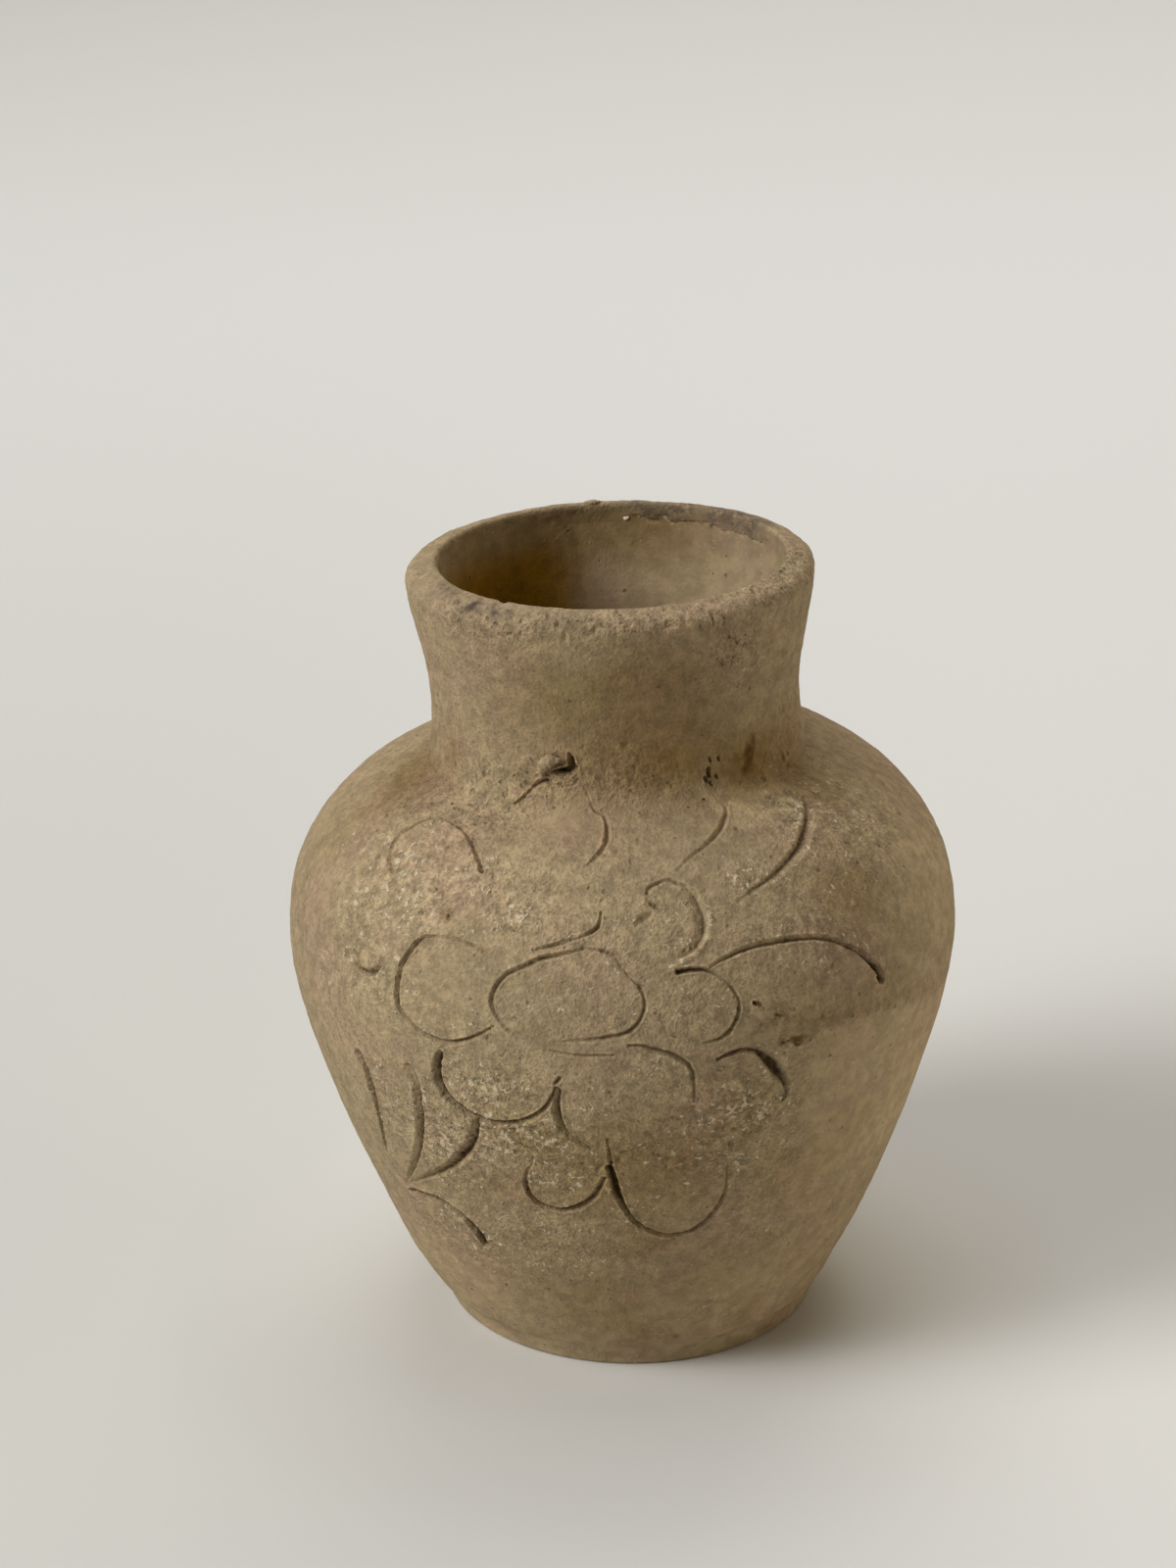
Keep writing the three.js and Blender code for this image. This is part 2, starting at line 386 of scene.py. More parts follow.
LEFT_PETAL = stroke(
    [(-34, 78), (-36.6, 77.3), (-38.4, 75.3), (-39.7, 72.7), (-40.1, 70), (-39.7, 67.3), (-38.1, 65.7),
     (-35, 64.3), (-31.9, 63.7), (-29.4, 63.7), (-26.25, 64.6), (-23.75, 65.8), (-21.6, 67.1)],
    (0.5, 0.8, 0.9, 0.9, 0.7, 0.8, 0.8, 0.5), (0.3, 0.6, 0.7, 0.6, 0.4, 0.5, 0.6, 0.25))
LEFT_PETAL_TOP = stroke([(-34, 78), (-29.4, 78.2), (-26.5, 77.8), (-23, 77)], (0.5, 0.7, 0.7, 0.4),
                        (0.12, 0.25, 0.3, 0.1))
OVAL_LEFT = stroke(
    [(-14, 77.2), (-17.2, 75.7), (-19.4, 74.7), (-20.9, 73.3), (-21.9, 71.3), (-21.6, 69.7), (-20, 67.7),
     (-18.1, 66.5), (-16.9, 66.3)],
    (0.9, 0.8, 0.8, 0.8, 0.6, 0.5), (0.5, 0.5, 0.5, 0.45, 0.3, 0.1))
OVAL_RIGHT = stroke(
    [(-12, 65.7), (-5.6, 66.3), (-2.5, 66.7), (0.3, 67.3), (2.2, 68.7), (3.1, 70.3), (3.25, 72), (2.5, 73.7),
     (1.25, 74.7), (0, 76)],
    (0.4, 0.7, 0.8, 0.8, 0.7, 0.6, 0.4), (0.05, 0.2, 0.42, 0.45, 0.38, 0.28, 0.12))
OVAL_TOP = stroke([(-14, 77.2), (-10, 78), (-6, 78.7), (-2, 78.1), (0, 76)], (0.9, 0.8, 0.5, 0.7, 0.4),
                  (0.6, 0.5, 0.2, 0.35, 0.1))
SMALL_PETAL = stroke(
    [(9, 75.2), (11.25, 75.3), (13.75, 75), (16.25, 73.7), (18.1, 71.7), (18.75, 70), (18.25, 68),
     (16.9, 66.3), (15, 65.3), (12.5, 65.1)],
    (0.9, 0.8, 0.7, 0.6, 0.7, 0.8, 0.5), (0.8, 0.6, 0.2, 0.3, 0.4, 0.45, 0.2))
LONG_LEAF = stroke(
    [(14.5, 75.4), (17.5, 76.3), (21.25, 77), (26.25, 77.1), (31.25, 76.7), (36.25, 75.7), (40, 74),
     (43.1, 72), (45, 70.3), (46.3, 68.7)],
    (0.5, 0.9, 1.0, 0.9, 0.9, 1.0, 1.2), (0.2, 0.5, 0.52, 0.5, 0.45, 0.5, 0.9), 0.3, 1.4)
LONG_LEAF_PIT = stroke([(45.7, 69.6), (46.3, 68.7), (47, 67.2)], (1.1, 1.5, 1.3), (0.9, 1.2, 1.0))
LEFT_HOOK = stroke(
    [(-53.8, 71.7), (-51.5, 71), (-48.8, 70.1), (-46.3, 70.3), (-44.6, 71.4), (-44.3, 72.6)],
    (0.3, 0.6, 1.0, 1.1, 0.7), (0.1, 0.25, 0.6, 0.6, 0.2))
CUP_PETAL = stroke(
    [(-31.4, 61.7), (-32.2, 59.9), (-32.6, 57.7), (-32, 55.5), (-30.5, 53.9), (-28.5, 52.7), (-26.25, 51.9),
     (-22.5, 51.5), (-19.4, 52), (-16.25, 53.2), (-13.5, 55.2), (-12.1, 57.3), (-11.5, 58.7)],
    (1.1, 1.5, 1.6, 1.5, 1.2, 1.0, 0.9, 0.8, 0.7), (0.7, 1.05, 1.05, 1.0, 0.85, 0.75, 0.7, 0.6, 0.5), -0.3)
CUP_PIT = stroke([(-11.3, 59.6), (-10.7, 60.3)], (0.8, 0.8), (0.5, 0.4))
LEAF_BLADE_OUTER = stroke(
    [(-51.2, 56.3), (-50.3, 53.7), (-50.2, 50.3), (-50.8, 46.3), (-52, 41.8), (-53.6, 37.6)],
    (1.5, 1.4, 0.9, 0.7, 0.4), (0.8, 0.8, 0.65, 0.55, 0.2), 0.3)
LEAF_BLADE_MIDDLE = stroke(
    [(-38.7, 57.6), (-37.9, 56), (-37.9, 53.2), (-39, 48), (-41.6, 42.8), (-45.8, 37.6), (-50.2, 33.4)],
    (1.7, 1.6, 1.5, 1.4, 1.3, 1.0, 0.5), (0.5, 0.8, 0.85, 0.8, 0.7, 0.5, 0.15), -0.6)
LEAF_BLADE_INNER = stroke(
    [(-26.3, 52), (-27, 49.6), (-28.6, 46.8), (-31.2, 44.1), (-34.7, 41.2), (-38.9, 38.7), (-44.75, 35.7),
     (-49.7, 33.4)],
    (1.0, 1.5, 1.8, 1.7, 1.4, 1.0, 0.7, 0.5), (0.5, 0.85, 0.95, 0.9, 0.75, 0.55, 0.3, 0.12), -0.6)
LEAF_STEM = stroke(
    [(-49.5, 31.9), (-46.5, 32.4), (-43.2, 32.6), (-38.5, 32.2), (-35.2, 30.6), (-33.2, 28.6), (-32, 26.2)],
    (1.1, 1.3, 1.4, 1.4, 1.5, 1.5), (0.9, 1.1, 1.1, 1.1, 1.1, 1.1), 0.45)
SHORT_TICK = stroke([(-11.2, 58.2), (-11.7, 55.8), (-11.5, 53.4), (-10.4, 51), (-8.6, 49.6), (-6.5, 48.4)],
                    (1.1, 1.3, 1.2, 0.9, 0.6), (0.65, 0.8, 0.75, 0.6, 0.4), -0.55)
LOWER_ARC = stroke(
    [(0.5, 65.4), (2.5, 65.3), (4.4, 64.7), (7.5, 63.7), (9.7, 62.3), (10.6, 61), (10.9, 59.3), (11, 56)],
    (0.6, 0.9, 0.9, 0.8, 0.5), (0.35, 0.5, 0.5, 0.4, 0.1))
LOWER_ARC_FAINT = stroke([(-14, 64.6), (-8, 64), (-2, 64)], (0.5, 0.7, 0.6), (0.1, 0.32, 0.3))
THUMB_ARC = stroke(
    [(14.8, 62.4), (16.8, 63), (19.2, 63.2), (21.2, 62.7), (23, 61.4), (24.7, 59.6), (26, 58), (27, 56.4),
     (27.5, 54.6), (26.8, 53.4)],
    (0.6, 0.9, 1.0, 1.4, 2.1, 2.2, 1.5, 0.8, 0.5), (0.4, 0.55, 0.6, 0.8, 1.1, 1.15, 0.8, 0.4, 0.3), 0.35)
THUMB_CREASE = stroke([(24.5, 62.7), (27, 62.9), (29, 62.2)], (0.5, 0.6, 0.5), (0.12, 0.2, 0.16))
BELL_LEFT = stroke(
    [(-16.9, 45), (-18.4, 43), (-19.1, 40.3), (-18.4, 38.3), (-16.6, 36.9), (-13.75, 36.2), (-10.6, 36.7),
     (-8.1, 38), (-6.25, 39.7), (-5, 41.7), (-4.4, 43)],
    (0.4, 0.8, 0.9, 1.0, 1.1, 1.0, 0.8), (0.1, 0.4, 0.6, 0.7, 0.75, 0.65, 0.45), 0.3)
BELL_RIGHT = stroke(
    [(-3.4, 45), (-2.8, 43), (-2.2, 40), (-0.9, 37), (1.25, 34), (4.4, 32), (8.1, 31), (11.9, 31.5),
     (15, 33.3), (17.2, 36.3), (18.1, 39.3), (17.8, 42), (17.5, 45)],
    (1.1, 1.3, 0.9, 0.8, 0.9, 0.9, 0.8, 0.6, 0.4), (1.1, 1.2, 0.7, 0.55, 0.6, 0.55, 0.4, 0.25, 0.08))
BELL_SCRATCH = stroke([(-3.5, 50.2), (-3.2, 47.5), (-3, 45.7)], (0.5, 0.6, 0.7), (0.2, 0.35, 0.4))
BELL_FAINT = stroke([(-1, 47.7), (2.5, 48.7)], (0.5, 0.5), (0.15, 0.1))

# Holes that grit left, most of them right of the front: each a short nick with two widths and two depths
GRIT_HOLES = [stroke([top, bottom], widths, depths) for top, bottom, widths, depths in [
    ((28.2, 127.8), (28.0, 127), (0.35, 0.3), (0.2, 0.15)),
    ((31.2, 128.1), (31.9, 127.5), (0.3, 0.35), (0.15, 0.2)),
    ((33.4, 124.8), (33.7, 124.4), (0.35, 0.3), (0.25, 0.18)),
    ((36.0, 123.6), (36.4, 123.2), (0.45, 0.35), (0.32, 0.22)),
    ((38.4, 122.8), (38.8, 122.4), (0.3, 0.3), (0.22, 0.15)),
    ((31.7, 120.7), (32.0, 120.3), (0.4, 0.3), (0.25, 0.2)),
    ((35.6, 121.3), (35.9, 121.0), (0.3, 0.3), (0.2, 0.18)),
    ((42.4, 124.5), (42.8, 124.1), (0.3, 0.3), (0.2, 0.15)),
    ((21.3, 69.6), (21.6, 69.3), (0.6, 0.5), (0.5, 0.35)),
    ((-32.8, 81.1), (-32.4, 80.7), (0.6, 0.5), (0.35, 0.25)),
    ((24.8, 67.3), (26.0, 67.0), (0.5, 0.5), (0.25, 0.2)),
    ((28.8, 106.7), (29.1, 106.2), (0.5, 0.45), (0.4, 0.35)),
    ((31.9, 106.4), (32.1, 106.0), (0.5, 0.45), (0.4, 0.3)),
    ((28.1, 105.2), (28.4, 104.2), (0.75, 0.75), (0.6, 0.55)),
    ((26.8, 104.0), (27.2, 103.5), (0.65, 0.6), (0.5, 0.45)),
    ((28.2, 103.2), (28.8, 102.8), (0.65, 0.6), (0.5, 0.4)),
    ((30.6, 104.0), (30.9, 103.6), (0.5, 0.45), (0.4, 0.3)),
    ((24.9, 101.0), (25.2, 100.7), (0.55, 0.45), (0.4, 0.3)),
]]

ORNAMENT = [
    LEFT_LEAF_ARCH, TOP_PETAL_LEFT, TOP_PETAL_POCKET, TOP_PETAL_NOTCH, TOP_PETAL_FAINT, TOP_PETAL_RIGHT,
    UPPER_RIGHT_LINE, RIGHT_LEAF, MID_PETAL_FAINT, MID_PETAL, CURL_TOP, CURL_SIDE, CURL_PIT, CURL_HOLLOW,
    LEFT_PETAL, LEFT_PETAL_TOP, OVAL_LEFT, OVAL_RIGHT, OVAL_TOP, SMALL_PETAL, LONG_LEAF, LONG_LEAF_PIT,
    LEFT_HOOK, CUP_PETAL, CUP_PIT, LEAF_BLADE_OUTER, LEAF_BLADE_MIDDLE, LEAF_BLADE_INNER, LEAF_STEM,
    SHORT_TICK, LOWER_ARC, LOWER_ARC_FAINT, THUMB_ARC, THUMB_CREASE, BELL_LEFT, BELL_RIGHT,
    BELL_SCRATCH, BELL_FAINT, *GRIT_HOLES,
]

# Clay that the stick pushed up: points, widths and heights
RAISED = [
    stroke([(12.6, 87.8), (14.3, 86.4), (15.4, 84.5), (16, 82.6), (15.6, 80.6), (14.3, 78.8), (12.3, 77.4),
            (10.5, 76.8), (8.7, 76.1), (7, 75.2)],
           (0.7, 0.9, 1.1, 1.2, 1.2, 0.9), (0.1, 0.2, 0.26, 0.27, 0.25, 0.1)),
    stroke([(3.9, 85.9), (4.2, 85.2), (4.9, 84.8)], (1.1, 1.3, 0.9), (0.2, 0.34, 0.2)),
    stroke([(-4, 44.6), (-4.3, 42.4), (-3.6, 40)], (0.7, 0.9, 0.7), (0.2, 0.3, 0.15)),
]


# How a stroke cuts: a cut's width counts as 2, from edge to edge
STROKE_STEP = 0.3
STROKE_MARGIN = 2.5
POINTS_AT_ONCE = 4000
LONG_SIDE_POWER = 1.7
SLANTED_SIDE_POWER = 0.7
SHORT_SIDE_POWER = 1.9
STICK_WANDER = [(0.10, 0.9, 31), (0.05, 0.4, 32)]
CUT_UNEVENNESS = [(0.14, 1.5, 33), (0.08, 0.6, 34)]
BURR_UNEVENNESS = [(0.5, 1.4, 35)]
CUT_GAIN = 1.1
# How a cut's bottom is darkened, with earth and with painted shade
DARK_BOTTOM = (0.68, 1.0)
DARK_DEPTH = (0.0, 0.75)
BURR_PLACE = 1.35
BURR_WIDTH = 0.3
BURR_HEIGHT = 0.17
BURR_FULL_DEPTH = 0.8
RAISED_WIDTH = 0.75
BURR_ENDS_AT_DEPTH = 0.1


def smooth_line(points, step=STROKE_STEP):
    """A curve through the points of a stroke, as (degrees, up the wall), about a step apart."""
    p = np.array(points, float)
    p = np.vstack([2 * p[0] - p[1], p, 2 * p[-1] - p[-2]])
    curve = []
    for a, b, c, d in zip(p[:-3], p[1:-2], p[2:-1], p[3:]):
        reach = math.hypot((c[0] - b[0]) * math.radians(1) * BELLY_RADIUS, c[1] - b[1])
        count = max(2, int(reach / step))
        t = (np.arange(count) / count)[:, None]
        curve.append(0.5 * (2 * b + (c - a) * t + (2 * a - 5 * b + 4 * c - d) * t ** 2
                            + (3 * b - a - 3 * c + d) * t ** 3))
    curve.append(p[-2][None])
    return np.vstack(curve)


def laid_out(mark):
    """A stroke's line on the unleaned skin, with its width and depth at each point."""
    line = smooth_line(mark["points"])
    place = unleaned(line[:, 1] + UP_WALL_START, line[:, 0])
    share = np.concatenate([[0], np.cumsum(np.linalg.norm(np.diff(place, axis=0), axis=1))])
    share /= share[-1]
    widths = np.interp(share, np.linspace(0, 1, len(mark["width"])), mark["width"])
    depths = np.interp(share, np.linspace(0, 1, len(mark["depth"])), mark["depth"])
    return place, widths, depths


LAID_OUT = [(laid_out(mark), mark["slant"], mark["rim"]) for mark in ORNAMENT]
line_points = np.vstack([line for (line, _, _), _, _ in LAID_OUT])
line_tree = KDTree(len(line_points))
for number, point in enumerate(line_points):
    line_tree.insert(point, number)
line_tree.balance()


def cut_profile(across, slant):
    """Depth from 1 at the bottom of a cut to 0 at its edges, which lie at -1 and 1 across."""
    side = np.where(across < slant, (slant - across) / (1 + slant), (across - slant) / (1 - slant))
    on_long_side = (across < slant) == (slant > 0)
    power = np.where(on_long_side, LONG_SIDE_POWER - SLANTED_SIDE_POWER * abs(slant), SHORT_SIDE_POWER)
    return np.clip(1 - np.clip(side, 0, 1) ** power, 0, 1)


def along_line(laid, points, out, wander):
    """For the points near a stroke, chunk by chunk: how far across it each lies, and the depth there."""
    line, widths, depths = laid
    low, high = line.min(0) - STROKE_MARGIN, line.max(0) + STROKE_MARGIN
    near = np.all((points > low) & (points < high), axis=1)
    near = np.flatnonzero(near)
    start, run = line[:-1], np.diff(line, axis=0)
    run_length = np.sum(run ** 2, axis=1)
    for chunk in np.array_split(near, max(1, len(near) // POINTS_AT_ONCE)):
        if not len(chunk):
            continue
        offset = points[chunk][:, None] - start[None]
        share = np.clip(np.sum(offset * run, axis=2) / run_length, 0, 1)
        gap = offset - share[..., None] * run
        distance = np.linalg.norm(gap, axis=2)
        nearest = distance.argmin(axis=1)
        row = np.arange(len(chunk))
        t = share[row, nearest]
        half = (widths[nearest] * (1 - t) + widths[nearest + 1] * t) / 2
        deep = depths[nearest] * (1 - t) + depths[nearest + 1] * t
        right = np.cross(run[nearest], out[chunk])
        sign = np.sign(np.sum(right * gap[row, nearest], axis=1))
        yield chunk, sign * (distance[row, nearest] + wander[chunk]) / half, deep


def cuts(points, out):
    """At each point: depth of the ornament, its dark bottom of earth and painted shade, and height of the
    clay pushed up beside it.
    """
    depth, core, burr = np.zeros((3, len(points)))
    wander = waves(points, STICK_WANDER)
    unevenness = waves(points, CUT_UNEVENNESS, start=1)
    for laid, slant, rim in LAID_OUT:
        for chunk, across, deep in along_line(laid, points, out, wander):
            profile = cut_profile(across, slant)
            depth[chunk] = np.maximum(depth[chunk], CUT_GAIN * deep * unevenness[chunk] * profile)
            dark = smooth_step(profile, *DARK_BOTTOM) * smooth_step(deep, *DARK_DEPTH)
            core[chunk] = np.maximum(core[chunk], dark)
            beside = ridge(np.abs(across) - BURR_PLACE, BURR_WIDTH) * np.minimum(deep, BURR_FULL_DEPTH)
            burr[chunk] = np.maximum(burr[chunk], BURR_HEIGHT * rim * beside)
    burr *= waves(points, BURR_UNEVENNESS, start=1)
    for mark in RAISED:
        for chunk, across, high in along_line(laid_out(mark), points, out, 0.5 * wander):
            burr[chunk] = np.maximum(burr[chunk], high * ridge(across, RAISED_WIDTH))
    return depth, core, np.clip(burr, 0, None) * ridge(depth, BURR_ENDS_AT_DEPTH)


# Where the surface is rough, crusted, stained, browner or paler, and where painted shade tints it: (degrees,
# up the wall, half width, half height, strength)
PITTED = [
    (-42, 99, 20, 7, 1.0), (-26, 104, 14, 4, 1.0), (0, 105, 14, 4, 0.5), (-60, 92, 14, 8, 0.5),
    (12, 48, 18, 9, 0.5), (-38, 84, 14, 8, 0.4), (20, 118, 14, 6, 0.4), (-15, 93, 12, 8, 0.3),
    (-38, 127, 16, 2, 1.0), (0, 129, 40, 1.8, 1.0), (-22, 46, 16, 9, 0.4), (24, 68, 8, 5, 0.4),
    (-8, 80, 8, 3, 0.5), (14, 56, 8, 4, 0.5), (60, 130, 20, 2.5, 1.0), (28, 62.8, 5, 1.2, 0.8),
    (-26, 50, 16, 9, 0.6), (17, 49, 12, 8, 0.8), (58, 86, 14, 8, 0.5), (36, 122, 8, 3.5, 0.9),
    (76, 131, 16, 2.5, 1.0),
]
CRUSTED = [
    (-23, 57, 11, 5, 1.0), (-26, 48, 15, 8, 0.75), (-14, 43, 12, 7, 0.75), (-34, 41, 8, 7, 0.6),
    (-8, 56, 8, 5, 0.5), (19, 55, 8, 6, 0.8), (16, 47, 12, 7, 0.7), (22, 46, 7, 4, 0.5),
    (6, 60, 8, 5, 0.5), (-45, 50, 8, 12, 0.5), (-42, 83, 14, 8, 0.75), (-52, 78, 7, 6, 0.7),
    (-24, 86, 12, 6, 0.7), (-45, 70, 10, 6, 0.55), (-58, 66, 6, 6, 0.5), (29, 86.5, 6, 2.5, 0.9),
    (42, 92.5, 6, 3, 0.7), (50, 95, 5, 3, 0.9), (44, 89, 9, 4, 0.6), (8, 82, 7, 6, 0.4),
    (-4, 80, 10, 6, 0.5), (-6, 72, 10, 6, 0.35), (34, 79, 14, 4, 0.4), (18, 14, 6, 5, 0.45),
    (-46, 100, 16, 6, 0.4), (-30, 66, 8, 5, 0.4), (-36, 26, 14, 6, 0.4), (-12, 26, 16, 5, 0.3),
    (58, 88, 14, 9, 0.55), (12, 70, 8, 5, 0.4), (-20, 50, 14, 8, 1.0), (-36, 46, 10, 8, 0.9),
    (-32, 87, 9, 5, 0.7), (-14, 32, 10, 4, 0.5), (46, 93, 6, 5, 1.0), (-51, 72, 8, 6, 0.6),
    (36, 74, 10, 3, 0.5), (-46, 86, 14, 8, 0.9), (26, 86, 6, 2.5, 1.0), (-40, 82, 10, 6, 0.9),
    (-20, 84, 8, 5, 0.8), (18, 53, 9, 6, 1.0), (0, 36, 5, 4, 0.6),
]
STAINED = [
    (28, 104.6, 3.2, 2.6, 0.45), (43.6, 105, 2.5, 1.9, 1.0), (45.2, 107.2, 1.8, 1.3, 0.7),
    (41, 103.8, 2.6, 0.8, 0.8), (47, 101.4, 1.3, 1.4, 0.75), (60, 103, 1.8, 1.0, 0.8),
    (61.5, 101, 2.2, 1.0, 0.7), (21.4, 69.5, 0.7, 0.5, 0.9), (-33, 81, 1.6, 1.2, 0.6),
    (26, 67, 3, 1.0, 0.5), (36, 64.5, 8, 1.2, 0.45), (28.5, 62.8, 2.6, 0.6, 0.9), (46, 80, 4, 2, 0.3),
    (12, 7.4, 3, 1.5, 0.5), (26.5, 4.6, 5, 1.2, 0.5), (45, 1.5, 6, 1.2, 0.5), (14, 45, 3, 1.5, 0.5),
    (22, 50, 2.5, 1.5, 0.5), (10, 55, 2.5, 1.2, 0.45), (18, 47, 2, 1.2, 0.5),
    (-14, 107.4, 2.6, 1.2, 0.7),
]
SMOOTHED = [
    (-14, 98, 9, 5.5, 1.0), (-30, 71, 7, 5, 0.4), (-9, 72, 8, 4.5, 0.4), (-11, 41, 5, 3.5, 0.4),
    (8, 40, 8, 6, 0.2), (6, 117, 40, 9, 0.6), (20, 95, 10, 5, 0.4), (66, 72, 16, 16, 0.6),
]
SMUDGED = [
    (-44, 129.6, 9, 1.3, 1.2), (-33, 129.2, 6, 1.0, 1.0), (-60, 130.5, 7, 1.4, 0.8),
    (-14, 129, 5, 1.0, 0.6), (150, 131, 20, 1.6, 0.8),
]
BROWNED = [
    (5, 112, 32, 11, 1.0), (-12, 116, 22, 9, 0.9), (44, 105, 12, 5, 1.0), (-76, 97, 14, 7, 1.0),
    (-78, 86, 9, 10, 0.5), (50, 84, 8, 6, 0.3), (20, 106, 12, 4, 0.6), (64, 105, 14, 4, 0.6),
    (-60, 106, 12, 4, 0.6), (6, 46, 13, 8, 0.75), (2, 30, 10, 6, 0.7), (-15, 48, 8, 5, 0.7),
    (-18, 30, 12, 5, 0.4), (-8, 16, 16, 9, 0.7), (36, 66, 14, 3, 0.5), (20, 52, 8, 8, 0.5),
    (36, 40, 14, 9, 0.5), (4, 119, 26, 7, 1.0), (0, 20, 55, 14, 0.45), (60, 98, 10, 6, 0.8),
    (45, 80, 7, 5, 0.8), (-60, 104, 10, 6, 0.6), (0, 42, 24, 9, 0.6), (-15, 50, 9, 5, 0.6),
    (0, 11, 9, 5, 0.7), (30, 11, 9, 5, 0.7), (-14, 120, 10, 4, 0.8), (-20, 39, 16, 5, 0.55),
    (34, 108, 12, 5, 0.7), (0, 108.5, 10, 3, 0.9),
]
# Painted shade: a brown tint, nearly without blue, where the outside of the neck and belly lies in shade
PAINTED_SHADE_SPOTS = [
    (46, 104, 18, 4.5, 0.45), (62, 102, 12, 4, 0.3), (18, 107, 16, 4, 0.4), (0, 44, 14, 9, 0.15),
]
PALED = [
    (-15, 61, 9, 6, 0.5), (22, 12, 30, 8, 0.6), (-44, 14, 14, 9, 0.8), (-20, 90, 12, 5, 0.7),
    (-22, 100, 13, 6, 1.0), (72, 74, 14, 12, 0.9), (-58, 58, 8, 8, 0.6), (-40, 66, 14, 8, 0.2),
    (34, 98, 9, 4, 0.8), (62, 60, 8, 6, 0.7), (-38, 89, 20, 11, 0.65), (-14, 84, 16, 9, 0.5),
    (0, 99, 9, 5, 0.7), (-48, 99, 10, 4, 0.7), (0, 94, 9, 4, 0.7), (-16, 103.5, 9, 3, 0.7),
    (-22, 93, 14, 7, 0.65),
]

# Right of the ornament and below this line the belly is bare and smooth: (degrees, up the wall)
BARE_EDGE = [(24, 62.4), (32, 62.8), (40, 62.6), (50, 62), (65, 59.4), (80, 58)]
BARE_BELOW_EDGE = (-0.8, 1.6)
BARE_ROUND = (30.5, 34.5)
BARE_ENDS_ROUND = (80, 105)
BARE_UP_WALL = (24, 40)
BARE_PALER_ROUND = (40, 60)
BARE_PALE, BARE_PALER, BARE_SMOOTH = 0.45, 0.4, 0.8
EDGE_ABOVE, EDGE_BROWN = 1.2, 0.45
EDGE_ROUND = (24, 32)
EDGE_ENDS_ROUND = (62, 76)

# Where things begin and where they are in full, in degrees from the front or in millimetres
CREST_BLEND = 1.2
FREE_OF_TABLE = (0.6, 3.0)
# Where the painted shade of the rim's shadow lies inside the neck
INNER_SHADE_AT_LEFT = (66, 108)
INNER_SHADE_ENDS_AT_BACK = (152, 176)
INNER_SHADE_DOWN_NECK = (114.5, 106)
INNER_SHADE_ABOVE_FLOOR = (62, 84)
BROWN_BACK = (125, 168)
BROWN_BACK_ENDS = (190, 222)
BROWN_UP_NECK = (102, 110)
RINGS_UP_WALL = (96, 104)
GRAINY_UP_WALL = (18, 30)
ORNAMENT_HALF_TURN = 68
ORNAMENT_UP_WALL = (22, 130)
COVE_ENDS_ROUND = (45, 78)
LIP_FRONT_ENDS = (50, 90)
LEDGE_ROUND = (108, 122)
LEDGE_ENDS_ROUND = (168, 177)
LEDGE_HEIGHT = 112.5
THICK_UP_WALL, THICK_REACH = 12, 6
KINK_UP_WALL, KINK_REACH = 5.8, 2.7

# Unevenness of the clay: layers of (height, size, seed)
PITTED_CLOUDS = [(0.12, 9, 41)]
CRUSTED_CLOUDS = [(0.14, 12, 42)]
STAIN_STRAYS_ROUND = [(1.2, 2.2, 44)]
STAIN_STRAYS_UP = [(0.8, 1.8, 45)]
COLOUR_STRAYS_ROUND = [(6, 11, 46)]
BROWN_STRAYS_UP = [(2.5, 9, 47)]
PALE_STRAYS_UP = [(2.5, 9, 48)]
BARE_EDGE_WAVES = [(0.5, 4, 49)]
BARE_SIDE_WAVES = [(2, 3, 50)]
# The ragged edge of the painted shade inside the neck
INNER_SHADE_EDGE_WAVES = [(3, 6, 40)]
SLOW_WAVES = [(0.22, 34, 1), (0.10, 13, 2)]
FINGER_RINGS = [(0.045, 2.6, 3)]
LUMPS = [(0.06, 5.2, 4), (0.05, 2.6, 5)]
SAND = [(0.075, 1.6, 6), (0.055, 0.95, 7)]
STICK_MARKS = [(0.085, 1.9, 8)]
LUMPS_INSIDE = [(0.04, 2.4, 9)]
SCABS = [(1, 1.5, 53), (0.6, 0.8, 54)]
SEAM_UNEVENNESS = [(0.5, 9, 61)]
ROLL_EDGE_WAVES = [(0.8, 2.2, 62)]
LIP_NICKS = [(0.12, 0.9, 68)]
LIP_LUMPS = [(0.08, 1.6, 69)]
LEDGE_WAVES = [(0.7, 2.3, 64), (0.5, 1.1, 65)]
SOOT_CLOUDS = [(0.6, 3.0, 66)]
SMUDGE_CLOUDS = [(0.9, 1.5, 67)]
PIT_STRAY_SIZE, PIT_STRAY_SEEDS = 0.9, (55, 56, 57)

# How much there is of it where no patch lies, and how far smooth or rough places change the relief
PITTED_ANYWHERE, CRUSTED_ANYWHERE, CRUST_CLUMPING = 0.10, 0.06, 0.25
STAIN_EDGE = (0.2, 0.75)
SMOOTHED_LOSES, INSIDE_LOSES = 0.7, 0.6
RING_STRETCH = 2.2
STICK_MARK_ROUND, STICK_MARK_LENGTH = 24, 12
NICK_ROUND, NICK_SHORTNESS = 28, 0.45
GRAIN, GRAIN_ROUGH, GRAIN_SMOOTH, GRAIN_LOW, GRAIN_INSIDE = 0.58, 0.55, 0.42, 0.3, 0.7
GRAIN_RANGE = (0.16, 1.1)
PIT_STRAY = 0.35

# Heights and depths of the relief
RIDGE_AT_SEAM = 0.10
CREASE_AT_NECK = 0.16
COVE_REACH = 3.6
COVE_ROUNDNESS = 13.5
LARGE_PIT, SMALL_PIT = 0.38, 0.26
SCAB_HEIGHT = 0.16
ROLL_HEIGHT = 0.03
LIP_DENT, LIP_BITE = 0.32, 0.30
LEDGE_DROP = 0.32


